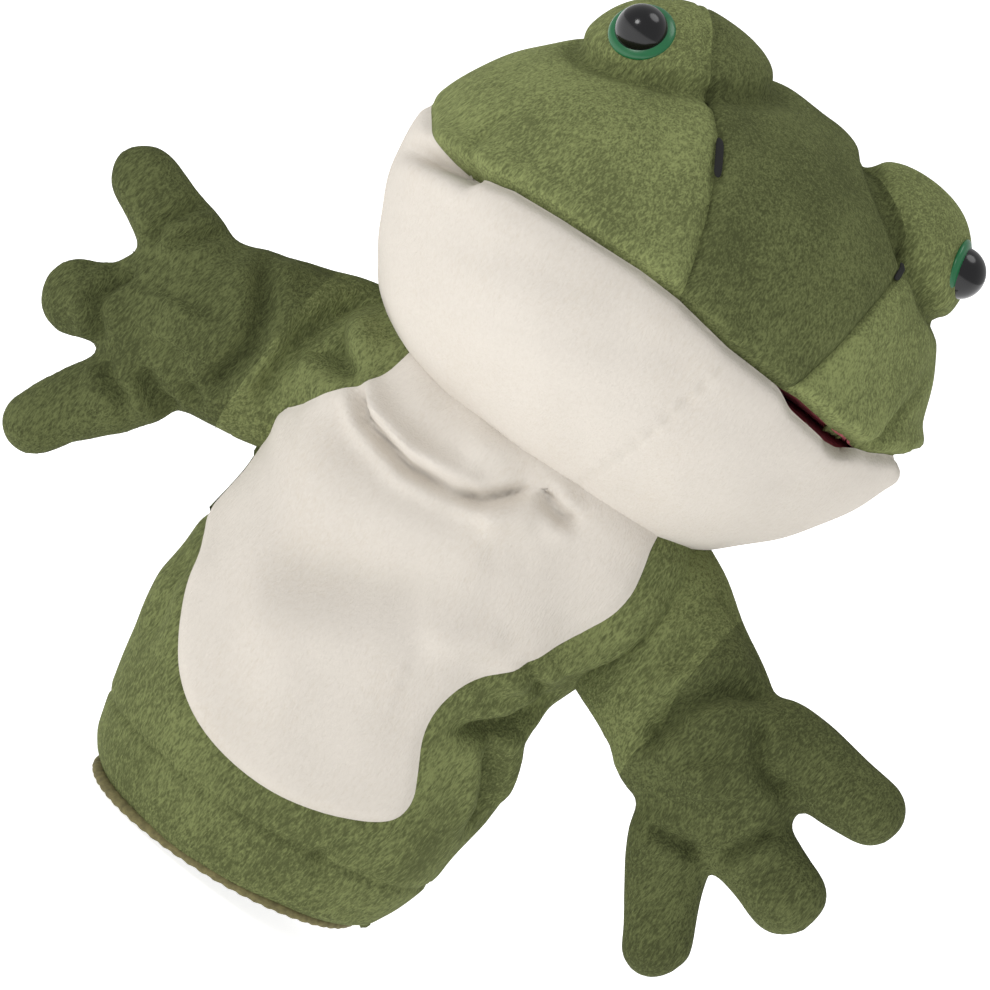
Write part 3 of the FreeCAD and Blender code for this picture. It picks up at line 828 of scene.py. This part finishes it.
def build_mouth(settings):
    """Upper and lower lining of the mouth, met by the rolled lips."""
    for name, sign, body, shift in (("upper", 1, "head", UPPER_LIP), ("lower", -1, "jaw", LOWER_LIP)):
        clear_selection()
        bpy.ops.mesh.primitive_grid_add(x_subdivisions=110, y_subdivisions=70, size=2)
        sheet = bpy.context.object
        sheet.name = f"mouth_{name}"
        points = points_of(sheet) / 1000
        across = 82.0 * np.sin(points[:, 0] * np.pi / 2)
        out = (points[:, 1] + 1) / 2
        edge = -67.6 * np.sqrt(1 - (across / 83.8) ** 2) * (1 - 0.16 * smooth_step((-across - 55) / 9))
        depth = FOLD_DEPTH + out * np.minimum(edge - FOLD_DEPTH, -0.5)
        spots = np.column_stack([across, depth, 0 * across])
        gap = mouth_gap(across)
        level = mouth_line(spots) * out + sign * (0.4 + 1.1 * out**4) + shift * gap * out**3
        level = level + sign * 0.5 * ripple(spots, 24, 9) * out * (1 - out)
        spots[:, 2] = level
        spots[:, 0] += 6.0 * smooth_step((-across - 50) / 28) * out
        place_points(sheet, from_head(spots))
        if sign > 0:
            choose(sheet)
            bpy.ops.object.mode_set(mode="EDIT")
            bpy.ops.mesh.select_all(action="SELECT")
            bpy.ops.mesh.flip_normals()
            bpy.ops.object.mode_set(mode="OBJECT")
        finish_modifier(sheet, "SOLIDIFY", "Cloth", thickness=settings.lining, offset=-1.0)
        sheet.data.polygons.foreach_set("use_smooth", [True] * len(sheet.data.polygons))
        wear(sheet, finish_of("pink"))
        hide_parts(f"mouth_lining_{name}", f"mouth_plate_{name}")
        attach(sheet, body)


# ------------------------------------------------------------------ body and neck
# height, left edge, right edge, half depth
BODY_STATIONS = np.array([
    (-6, -43.5, 43.5, 34), (0, -45, 45, 34.5), (5, -49, 47, 36), (17, -53.5, 52, 38.5), (33, -58, 55.5, 41),
    (53, -63, 55.5, 42), (74, -62.5, 53, 42), (92, -61.5, 51, 41), (104, -63, 56, 40), (114, -67, 61, 39),
    (125, -69, 64, 38), (138, -68, 64, 37), (150, -63, 60, 36), (164, -50, 48, 32),
], float)
# the belly patch seen from the front: sideways place and height
BELLY = (
    (39, 42), (25, 34.5), (10, 30), (-8, 29), (-24, 32), (-37, 39), (-46, 49.5), (-54, 61), (-60, 73),
    (-72, 84), (-76, 104), (-64, 112), (-56, 123), (-48, 134), (-43, 141), (-41, 150), (-40, 175),
    (44, 175), (48, 155), (52, 145), (54, 136), (52, 124), (46, 112), (39, 100), (32, 90), (30, 79),
    (31.5, 69.4), (36.5, 60), (41, 51),
)
NECK_LEVELS = (142.5, 147.7, 152.6, 158.0)
SLEEVE_TOP = 164.0


def round_off(outline, times):
    """Cut the corners of a closed outline again and again."""
    line = np.array(outline, float)
    for _ in range(times):
        after = np.roll(line, -1, axis=0)
        line = np.stack([0.75 * line + 0.25 * after, 0.25 * line + 0.75 * after], axis=1).reshape(-1, 2)
    return line


def outside_outline(spots, outline):
    """Distance of flat points from a closed outline, negative inside it."""
    after = np.roll(outline, -1, axis=0)
    best = np.full(len(spots), 1e9)
    inside = np.zeros(len(spots), bool)
    for a, b in zip(outline, after):
        step = b - a
        t = np.clip((spots - a) @ step / max(step @ step, 1e-9), 0, 1)
        best = np.minimum(best, np.linalg.norm(spots - a - t[:, None] * step, axis=1))
        crosses = (a[1] > spots[:, 1]) != (b[1] > spots[:, 1])
        rise = step[1] if step[1] else 1e-9
        inside ^= crosses & (spots[:, 0] < a[0] + step[0] * (spots[:, 1] - a[1]) / rise)
    return np.where(inside, -best, best)


def hem_level(across, depth):
    """Height of the hem's edge, which hangs lower at the front and to the left."""
    return 1.8 + 0.104 * across + 0.12 * depth


def body_skin(detail):
    """The hand sleeve as one closed tube of cloth, open at the hem and in the head."""
    rows = int(170 / detail)
    columns = int(320 / detail)
    clear_selection()
    bpy.ops.mesh.primitive_grid_add(x_subdivisions=columns, y_subdivisions=rows, size=2)
    skin = bpy.context.object
    skin.name = "Body"
    points = points_of(skin) / 1000
    angle = np.pi * points[:, 0]
    share = (points[:, 1] + 1) / 2
    table = BODY_STATIONS
    round_x, round_y = np.sin(angle), -np.cos(angle)
    hem = hem_level(45 * round_x, 34 * round_y)
    height = hem * (1 - share) ** 2 + SLEEVE_TOP * share
    left = np.interp(height, table[:, 0], table[:, 1])
    right = np.interp(height, table[:, 0], table[:, 2])
    half_depth = np.interp(height, table[:, 0], table[:, 3])
    across = (left + right) / 2 + (right - left) / 2 * round_x
    place_points(skin, np.column_stack([across, half_depth * round_y, height]))
    choose(skin)
    bpy.ops.object.mode_set(mode="EDIT")
    bpy.ops.mesh.select_all(action="SELECT")
    bpy.ops.mesh.remove_doubles(threshold=0.00005)
    bpy.ops.mesh.normals_make_consistent(inside=False)
    bpy.ops.object.mode_set(mode="OBJECT")
    finish_modifier(skin, "SMOOTH", "Relax", factor=0.5, iterations=12)
    return skin


def belly_edge(points):
    """Distance from the belly patch's edge, negative on the patch."""
    outline = round_off(BELLY, 2)
    return np.maximum(outside_outline(points[:, [0, 2]], outline), points[:, 1])


BODY_PIECES = (
    "belly", "body_front", "body_back",
    "neck_low_front", "neck_low_back", "neck_middle_front", "neck_middle_back",
    "neck_top_front", "neck_top_back",
)


def body_owner(points):
    """Which of BODY_PIECES each place on the tube belongs to."""
    edge = belly_edge(points)
    patch = edge < 0
    level = np.searchsorted(NECK_LEVELS, points[:, 2])
    body = np.where(patch, 0, np.where(points[:, 1] < 0, 1, 2))
    neck = 1 + 2 * np.clip(level, 1, 3) + np.where(patch, 0, 1)
    return np.where(level == 0, body, neck)


# soft folds pressed into the body: path, width, depth (negative raises a roll)
BODY_FOLDS = (
    (
        ((-50, -18, 139), (-43, -29, 134), (-38, -31, 131), (-30, -34, 130), (-19, -36, 129),
         (-3, -37, 132), (4, -37, 135)),
        1.9, 5.4,
    ),
    (((-46, -25, 139), (-34, -32, 135), (-20, -36, 134), (-6, -37, 137), (2, -37, 142)), 4.6, -4.6),
    (((-40, -29, 148), (-24, -35, 144), (-6, -37, 146), (7, -36, 152)), 6.0, -3.0),
    (((-6, -37, 131), (4, -37, 135), (9, -36, 141), (14, -35, 148)), 1.8, 4.0),
    (((14, -35, 150), (20, -34, 146), (25, -33, 145), (31, -31, 147)), 2.0, 3.4),
    (((6, -37, 128), (16, -36, 137), (22, -35, 141)), 4.5, -2.4),
    (((-41, -32, 77), (-16, -40, 93), (9, -39, 106), (21, -36, 108)), 10.0, 3.2),
    (((12, -39, 92), (28, -34, 101), (36, -30, 108)), 6.0, -1.6),
    (((-34, -35, 62), (-14, -41, 74), (4, -41, 80)), 9.0, -1.4),
    (
        ((30, -33, 80), (36, -30, 88), (42, -26, 98), (50, -21, 108), (56, -16, 120), (59, -13, 134),
         (59, -10, 148)),
        5.0, -3.6,
    ),
    (((35, -31, 74), (40, -27, 77), (47, -16, 84), (52, -10, 94), (56, -6, 100)), 2.6, 4.4),
    (((41, -28, 106), (44, -24, 102), (52, -12, 96)), 2.0, 2.6),
    (((45, -21, 84), (46, -19, 78), (51, -13, 70), (54, -6, 60), (54, -6, 46)), 2.8, 3.6),
    (((52, -10, 84), (55, -4, 70), (57, 0, 56)), 4.0, -2.0),
    (((-68, -9, 142), (-60, -17, 138), (-54, -22, 137), (-46, -28, 138)), 3.2, 4.0),
    (((-68, -10, 116), (-64, -16, 128), (-58, -20, 132)), 5.5, -2.4),
    (((-62, -14, 152), (-56, -20, 147), (-48, -26, 144)), 4.5, -2.4),
    (((27, -34, 26), (33, -30, 16)), 2.2, 1.6),
    (((-50, -24, 34), (-57, -20, 54), (-60, -14, 70)), 4.5, 1.8),
    (((-30, -33, 4), (-24, -36, 18)), 3.5, 1.0),
)
HEM_STITCH = 21.0


def shape_body(skin):
    """Press the folds, seams and the hem's stitch line into the tube, with painted shade in the fold
    bottoms, along the seams and on the stitch line.
    """
    base = points_of(skin)
    normals = normals_of(skin)
    points = base.copy()
    seam = np.zeros(len(base))
    # folds pressed in, with painted shade at their bottoms
    press_folds(base, points, normals, seam, BODY_FOLDS, 1.2, 0.06, 0.3)
    edge = belly_edge(base)
    points -= normals * (0.8 * bell(edge, 1.6))[:, None]
    # painted shade along the edge of the belly patch
    seam += 0.15 * bell(edge, 0.8)
    hem = hem_level(base[:, 0], base[:, 1])
    stitch = bell(base[:, 2] - hem - HEM_STITCH, 1.1)
    points -= normals * (0.9 * stitch)[:, None]
    # painted shade in the hem's stitch line
    seam += 0.35 * stitch
    rim = smooth_step((6 - (base[:, 2] - hem)) / 6)
    points -= normals * (2.0 * rim**2)[:, None]
    side_seam = bell(base[:, 1], 1.3) * (base[:, 2] < 96)
    points -= normals * (0.8 * side_seam)[:, None]
    # painted shade along the side seams
    seam += 0.35 * side_seam
    points += normals * (0.9 * ripple(base, 60, 11) + 0.35 * ripple(base, 24, 12))[:, None]
    place_points(skin, points)
    note(skin, "seam", np.clip(seam, 0, 1))


# cut of each body cloth: width and length of its rectangle, and its area, in metres
BODY_CLOTHS = {
    "belly": ((0.118, 0.115), 0.0127),
    "body_front": ((0.176, 0.146), 0.0118),
    "body_back": ((0.176, 0.146), 0.0220),
}


def build_body(settings):
    """Belly, front, back and the folds of the neck, with the hem's turned edge."""
    skin = body_skin(settings.skin_detail * 1000)
    cut_along(skin, belly_edge(points_of(skin)))
    for level in NECK_LEVELS[:3]:
        cut_along(skin, points_of(skin)[:, 2] - level)
    cut_along(skin, points_of(skin)[:, 1] * (points_of(skin)[:, 2] < NECK_LEVELS[0]) + 1e-6)
    owner = body_owner(centres_of(skin))
    shape_body(skin)
    parts = part_by(skin, BODY_PIECES, owner)
    moves = (
        ("neck_low", "body", "neck_turning"),
        ("neck_middle", "neck_turning", "neck_tilting"),
        ("neck_top", "neck_tilting", "jaw"),
    )
    for name, piece in parts.items():
        give_thickness(piece, settings.cloth * 1000)
        cream = name == "belly" or name.endswith("_front") and name.startswith("neck")
        wear(piece, finish_of("cream" if cream else "green_body"))
        for (prefix, lower, upper), low, high in zip(moves, NECK_LEVELS, NECK_LEVELS[1:]):
            if name.startswith(prefix):
                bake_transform(piece, lower, upper, (0, 0, low / 1000), (0, 0, high / 1000))
        if name in BODY_CLOTHS:
            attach(piece, "body")
    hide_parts("belly_panel")
    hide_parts("body_front_panel")
    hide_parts("body_back_panel")
    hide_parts("neck_ring_lower")
    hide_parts("neck_ring_upper")
    return parts


def build_hem():
    """The raw edge of the hem, turned and bound."""
    clear_selection()
    bpy.ops.mesh.primitive_torus_add(major_segments=220, minor_segments=14, major_radius=1, minor_radius=0.2)
    ring = bpy.context.object
    ring.name = "hem_edge"
    points = points_of(ring) / 1000
    angle = np.arctan2(points[:, 1], points[:, 0])
    radial = (np.hypot(points[:, 0], points[:, 1]) - 1) / 0.2
    up = points[:, 2] / 0.2
    wide = 43.0 + 1.7 * radial
    deep = 32.0 + 1.7 * radial
    x, y = wide * np.cos(angle), deep * np.sin(angle)
    z = hem_level(x, y) + 0.2 + 1.6 * up + 0.2 * np.sin(angle * 61)
    place_points(ring, np.column_stack([x, y, z]))
    ring.data.polygons.foreach_set("use_smooth", [True] * len(ring.data.polygons))
    wear(ring, finish_of("hem"))
    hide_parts("hem_binding")
    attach(ring, "body")


# ------------------------------------------------------------------ arms and hands
ARMS = {
    # side: limbs as (start, radius, end, radius, flatness): sleeve, palm, then the fingers
    "left": (
        ((-48, 5, 131), 29, (-84, -2, 121), 27.5, 0.62),
        ((-92, -3, 119), 26, (-101, -3, 113), 26, 0.58),
        ((-110, -3, 130), 13, (-135.5, -3, 139), 10.6, 0.85),
        ((-112, -3, 109), 13, (-129.5, -3, 100), 12.0, 0.75),
        ((-101, -3, 93), 13.5, (-118, -3, 63.5), 9.8, 0.85),
    ),
    "right": (
        ((50, 6, 132), 27, (85, -1, 117.5), 25.5, 0.62),
        ((92, -3, 114), 26, (103, -3, 111), 25.5, 0.58),
        ((111, -3, 128), 13.5, (143.5, -3, 129), 10.4, 0.85),
        ((115, -3, 101), 14, (139, -3, 95), 12.2, 0.75),
        ((102, -3, 87), 13, (118, -3, 59), 10.4, 0.85),
    ),
}
# soft folds on the front of each arm: path seen from the front, width, depth
ARM_FOLDS = {
    "left": (
        (((-97, 147), (-89, 141), (-83, 134), (-79, 125), (-80, 116), (-83, 101)), 2.8, 3.4),
        (((-60, 160), (-66, 148), (-69, 135), (-69, 121), (-66, 108)), 2.8, 3.0),
        (((-117, 147), (-123, 134), (-122, 125)), 2.0, 2.2),
        (((-106, 144), (-113, 136), (-118, 130)), 2.0, 1.6),
        (((-121, 120), (-124, 113), (-125, 105), (-119, 97), (-115, 94)), 2.0, 2.6),
        (((-113, 92), (-107, 88), (-97, 86)), 2.0, 2.2),
        (((-102, 98), (-93, 93), (-85, 94)), 2.4, 2.2),
        (((-88, 103), (-81, 99)), 2.2, 1.8),
        (((-101, 122), (-98, 108)), 11.0, -2.6),
    ),
    "right": (
        (((80, 99), (80, 110), (83, 121), (91, 133), (105, 141)), 3.0, 3.8),
        (((80, 104), (84, 112), (88, 120)), 5.0, 1.6),
        (((103, 133), (110, 123), (116, 120), (126, 119)), 2.4, 2.2),
        (((95, 86), (103, 88), (110, 89), (115, 87)), 2.0, 2.4),
        (((118, 91), (122, 98), (127, 110)), 2.0, 2.4),
        (((99, 113), (107, 104)), 11.0, -2.2),
        (((72, 140), (76, 126)), 4.0, 1.2),
    ),
}


def outward_at(points, point, direction):
    """How far each place lies beyond a plane through a point."""
    direction = np.array(direction, float)
    return (points - np.array(point)) @ (direction / np.linalg.norm(direction))


def shape_arm(skin, side, sign):
    """Work the folds, the stitched outline and soft dents into one arm, with painted shade in the fold
    bottoms and along the outline's stitching.
    """
    base = points_of(skin)
    normals = normals_of(skin)
    points = base.copy()
    seam = np.zeros(len(base))
    front = smooth_step((-2 - base[:, 1]) / 7)
    # folds pressed in, with painted shade at their bottoms
    press_folds(base[:, [0, 2]], points, normals, seam, ARM_FOLDS[side], 1.35, 0.10, 0.2, front)
    outline_seam = bell(base[:, 1] + 2.5, 1.1) * (np.abs(base[:, 0]) > 70)
    points -= normals * (0.6 * outline_seam)[:, None]
    # painted shade along the stitched outline
    seam += 0.3 * outline_seam
    points += normals * (0.7 * ripple(base, 32, 21 + sign) + 0.25 * ripple(base, 14, 25 + sign))[:, None]
    place_points(skin, points)
    note(skin, "seam", np.clip(seam, 0, 1))


def build_arm(settings, side):
    """Sleeve, hand and three fingers of one arm, cut from one stuffed skin."""
    limbs = ARMS[side]
    sign = -1 if side == "left" else 1
    solids = [limb("Limb", *spec) for spec in limbs]
    skin = sew_solid(f"Arm {side}", solids, settings.skin_detail * 1000, 14)
    wrist = pivot(f"wrist_bend_{side}")
    along = np.array([sign, 0, 0])
    wrist_plane = wrist - along * 8
    knuckles = []
    for number in (1, 2, 3):
        start, _, end, _, _ = limbs[1 + number]
        ray = (np.array(end) - np.array(start)).astype(float)
        ray /= np.linalg.norm(ray)
        knuckle = pivot(f"finger_curl_{side}_{number}")
        knuckles.append((knuckle, ray, np.array(start, float)))
    cut_along(skin, outward_at(points_of(skin), wrist_plane, along))
    for knuckle, ray, start in knuckles:
        points = points_of(skin)
        offset = points - start
        away = np.linalg.norm(offset - (offset @ ray)[:, None] * ray, axis=1)
        cut_along(skin, np.where(away < 19, outward_at(points, knuckle - 6 * ray, ray), -1.0))
    centres = centres_of(skin)
    owner = np.where(outward_at(centres, wrist_plane, along) < 0, 0, 1)
    for number, (knuckle, ray, start) in enumerate(knuckles):
        offset = centres - start
        away = np.linalg.norm(offset - (offset @ ray)[:, None] * ray, axis=1)
        owner = np.where((away < 18) & (outward_at(centres, knuckle - 6 * ray, ray) > 0), 2 + number, owner)
    shape_arm(skin, side, sign)
    names = [f"sleeve_{side}", f"hand_{side}", *(f"finger_{side}_{n}" for n in (1, 2, 3))]
    parts = part_by(skin, names, owner)
    shoulder = pivot(f"arm_raise_{side}")
    arm, hand = f"arm_{side}", f"hand_{side}"
    spans = {names[0]: ("body", arm, shoulder - 12 * along, shoulder + 12 * along)}
    spans[names[1]] = (arm, hand, wrist_plane, wrist + 8 * along)
    for number, (knuckle, ray, _) in enumerate(knuckles, 1):
        spans[names[1 + number]] = (
            hand, f"finger_{side}_{number}", knuckle - 6 * ray, knuckle + 8 * ray,
        )
    for name, piece in parts.items():
        give_thickness(piece, settings.cloth * 700)
        wear(piece, finish_of("green_body" if name.startswith("sleeve") else "green_hand"))
        first, second, start, end = spans[name]
        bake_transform(piece, first, second, tuple(start / 1000), tuple(end / 1000))
    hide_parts(f"arm_cover_{side}", f"arm_stuffing_{side}")
    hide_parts(f"palm_cover_{side}", f"palm_stuffing_{side}")
    for number in (1, 2, 3):
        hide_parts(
            f"finger_cover_{side}_{number}", f"finger_stuffing_{side}_{number}"
        )
    return parts


# ------------------------------------------------------------------ frame pieces that stay
KEPT = {
    "board": ("mouth_plate_lower", "mouth_plate_upper"),
    "pocket": ("thumb_pocket_lining", "finger_pocket_lining"),
}


def dress_frame():
    """Give the frame pieces that stay their finishes."""
    for name, item in frame["nodes"].items():
        key = next((k for k, names in KEPT.items() if name in names), "filling")
        wear(item, finish_of(key))


# ------------------------------------------------------------------ stage
PICTURE_TURN = 8.0  # degrees the camera stands towards +X
PICTURE_RISE = 11.0
PICTURE_ROLL = 37.5  # the puppet leans this far to the right
PICTURE_WIDTH = 287.1  # millimetres across the view at the puppet
PICTURE_CENTRE = (1.0, 128.7)  # middle of the view, along and up from the hem's middle
CAMERA_FAR = 5000.0


def make_camera():
    """A long lens, rolled so that the puppet leans."""
    turn, rise, roll = (math.radians(a) for a in (PICTURE_TURN, PICTURE_RISE, PICTURE_ROLL))
    back = Vector(
        (math.sin(turn) * math.cos(rise), -math.cos(turn) * math.cos(rise), math.sin(rise))
    )
    side = Vector((math.cos(turn), math.sin(turn), 0))
    up = back.cross(side)
    right = side * math.cos(roll) + up * math.sin(roll)
    top = up * math.cos(roll) - side * math.sin(roll)
    target = side * PICTURE_CENTRE[0] + up * PICTURE_CENTRE[1]
    clear_selection()
    bpy.ops.object.camera_add()
    camera = bpy.context.object
    camera.name = "Camera"
    frame_axes = Matrix((right, top, back)).transposed().to_4x4()
    camera.matrix_world = Matrix.Translation((target + back * CAMERA_FAR) / 1000) @ frame_axes
    camera.data.sensor_width = 36.0
    camera.data.lens = 36.0 * CAMERA_FAR / PICTURE_WIDTH
    camera.data.clip_end = 50.0
    bpy.context.scene.camera = camera


def area_light(name, place, size, power, aim=(0, 0, 0.14)):
    """A soft box pointing at the puppet."""
    clear_selection()
    bpy.ops.object.light_add(type="AREA", location=place)
    light = bpy.context.object
    light.name = name
    light.data.shape = "DISK"
    light.data.size = size
    light.data.energy = power
    light.rotation_mode = "QUATERNION"
    light.rotation_quaternion = (Vector(aim) - Vector(place)).to_track_quat("-Z", "Y")


def build_stage():
    """Pale floor, pale surroundings, soft boxes and the camera."""
    clear_selection()
    bpy.ops.mesh.primitive_circle_add(vertices=96, radius=14.0, fill_type="NGON", location=(0, 0, -0.006))
    floor = bpy.context.object
    floor.name = "Floor"
    bpy.ops.object.transform_apply(location=True, rotation=True, scale=True)
    paint, _, shader = blank_material("Pale floor")
    shader.inputs["Base Color"].default_value = (0.9, 0.9, 0.9, 1)
    shader.inputs["Roughness"].default_value = 0.9
    shader.inputs["Emission Color"].default_value = (1, 1, 1, 1)
    shader.inputs["Emission Strength"].default_value = 0.85
    wear(floor, paint)
    world = bpy.data.worlds.new("Studio")
    bpy.context.scene.world = world
    world.use_nodes = True
    world.node_tree.nodes["Background"].inputs["Color"].default_value = (1, 1, 1, 1)
    world.node_tree.nodes["Background"].inputs["Strength"].default_value = 0.58
    area_light("Key", (-0.9, -1.3, 1.0), 0.5, 5.5)
    area_light("Top", (0.1, 0.1, 1.6), 0.8, 4)
    bpy.context.scene.view_settings.view_transform = "Standard"
    make_camera()


# ------------------------------------------------------------------ add-on
class PuppetSettings(bpy.types.PropertyGroup):
    """Sizes and colours of the puppet."""

    skin_detail: bpy.props.FloatProperty(
        name="Skin detail", description="Spacing of the points of the soft skins",
        default=0.0014, min=0.0008, max=0.004, unit="LENGTH",
    )
    cloth: bpy.props.FloatProperty(
        name="Plush thickness", description="Backing and pile of the plush together",
        default=0.0022, min=0.001, max=0.004, unit="LENGTH",
    )
    lining: bpy.props.FloatProperty(
        name="Lining thickness", description="Cloth inside the mouth",
        default=0.0009, min=0.0003, max=0.002, unit="LENGTH",
    )
    eye_width: bpy.props.FloatProperty(
        name="Eye width", description="Across the coloured ring of one eye",
        default=0.0196, min=0.012, max=0.026, unit="LENGTH",
    )
    green: bpy.props.FloatVectorProperty(
        name="Green plush", description="Colour of the crown, back, arms and sides",
        default=(0.112, 0.128, 0.050), subtype="COLOR", size=3, min=0, max=1,
    )
    cream: bpy.props.FloatVectorProperty(
        name="Cream plush", description="Colour of the jaw and belly",
        default=(0.635, 0.590, 0.530), subtype="COLOR", size=3, min=0, max=1,
    )
    hem_colour: bpy.props.FloatVectorProperty(
        name="Hem edge", description="Colour of the hem's turned edge",
        default=(0.16, 0.14, 0.055), subtype="COLOR", size=3, min=0, max=1,
    )
    mouth_colour: bpy.props.FloatVectorProperty(
        name="Mouth lining", description="Colour inside the mouth",
        default=(0.42, 0.085, 0.11), subtype="COLOR", size=3, min=0, max=1,
    )
    iris_colour: bpy.props.FloatVectorProperty(
        name="Eye ring", description="Colour of the ring round each pupil",
        default=(0.010, 0.13, 0.045), subtype="COLOR", size=3, min=0, max=1,
    )


class PUPPET_OT_frame(bpy.types.Operator):
    """Give the frame pieces that stay visible their finishes"""

    bl_idname = "puppet.frame"
    bl_label = "Finish frame pieces"

    def execute(self, context):
        dress_frame()
        return {"FINISHED"}


class PUPPET_OT_head(bpy.types.Operator):
    """Make the head, jaw, cheeks and nape"""

    bl_idname = "puppet.head"
    bl_label = "Head and jaw"

    def execute(self, context):
        build_head(context.scene.frog_puppet)
        return {"FINISHED"}


class PUPPET_OT_mouth(bpy.types.Operator):
    """Make the upper and lower lining of the mouth"""

    bl_idname = "puppet.mouth"
    bl_label = "Mouth lining"

    def execute(self, context):
        build_mouth(context.scene.frog_puppet)
        return {"FINISHED"}


class PUPPET_OT_eyes(bpy.types.Operator):
    """Make the rings and pupils of the eyes"""

    bl_idname = "puppet.eyes"
    bl_label = "Eyes"

    def execute(self, context):
        build_eyes(context.scene.frog_puppet)
        return {"FINISHED"}


class PUPPET_OT_nostrils(bpy.types.Operator):
    """Make the stitched nostrils"""

    bl_idname = "puppet.nostrils"
    bl_label = "Nostrils"

    def execute(self, context):
        build_nostrils()
        return {"FINISHED"}


class PUPPET_OT_body(bpy.types.Operator):
    """Make the hand sleeve with its belly patch and neck folds"""

    bl_idname = "puppet.body"
    bl_label = "Body and neck"

    def execute(self, context):
        build_body(context.scene.frog_puppet)
        return {"FINISHED"}


class PUPPET_OT_hem(bpy.types.Operator):
    """Make the turned edge of the hem"""

    bl_idname = "puppet.hem"
    bl_label = "Hem edge"

    def execute(self, context):
        build_hem()
        return {"FINISHED"}


class PUPPET_OT_arms(bpy.types.Operator):
    """Make both sleeves, hands and all fingers"""

    bl_idname = "puppet.arms"
    bl_label = "Arms and hands"

    def execute(self, context):
        for side, _ in SIDES:
            build_arm(context.scene.frog_puppet, side)
        return {"FINISHED"}


class PUPPET_OT_stage(bpy.types.Operator):
    """Make the floor, the lights and the camera"""

    bl_idname = "puppet.stage"
    bl_label = "Stage"

    def execute(self, context):
        build_stage()
        return {"FINISHED"}


OPERATORS = (
    PUPPET_OT_frame, PUPPET_OT_head, PUPPET_OT_mouth, PUPPET_OT_eyes, PUPPET_OT_nostrils,
    PUPPET_OT_body, PUPPET_OT_hem, PUPPET_OT_arms, PUPPET_OT_stage,
)


class PUPPET_PT_panel(bpy.types.Panel):
    """Steps that build the puppet, in order"""

    bl_label = "Frog Hand Puppet"
    bl_idname = "PUPPET_PT_panel"
    bl_space_type = "VIEW_3D"
    bl_region_type = "UI"
    bl_category = "Puppet"

    def draw(self, context):
        settings = context.scene.frog_puppet
        for name in settings.__annotations__:
            self.layout.prop(settings, name)
        for operator in OPERATORS:
            self.layout.operator(operator.bl_idname)


CLASSES = (PuppetSettings, *OPERATORS, PUPPET_PT_panel)


def register():
    """Add the puppet's settings, steps and panel."""
    for item in CLASSES:
        bpy.utils.register_class(item)
    bpy.types.Scene.frog_puppet = bpy.props.PointerProperty(type=PuppetSettings)


def unregister():
    """Take the puppet's settings, steps and panel away."""
    del bpy.types.Scene.frog_puppet
    for item in reversed(CLASSES):
        bpy.utils.unregister_class(item)


def main():
    """Build the puppet and its stage."""
    register()
    bpy.ops.puppet.frame()
    bpy.ops.puppet.head()
    bpy.ops.puppet.mouth()
    bpy.ops.puppet.eyes()
    bpy.ops.puppet.nostrils()
    bpy.ops.puppet.body()
    bpy.ops.puppet.hem()
    bpy.ops.puppet.arms()
    bpy.ops.puppet.stage()


if __name__ == "__main__":
    main()
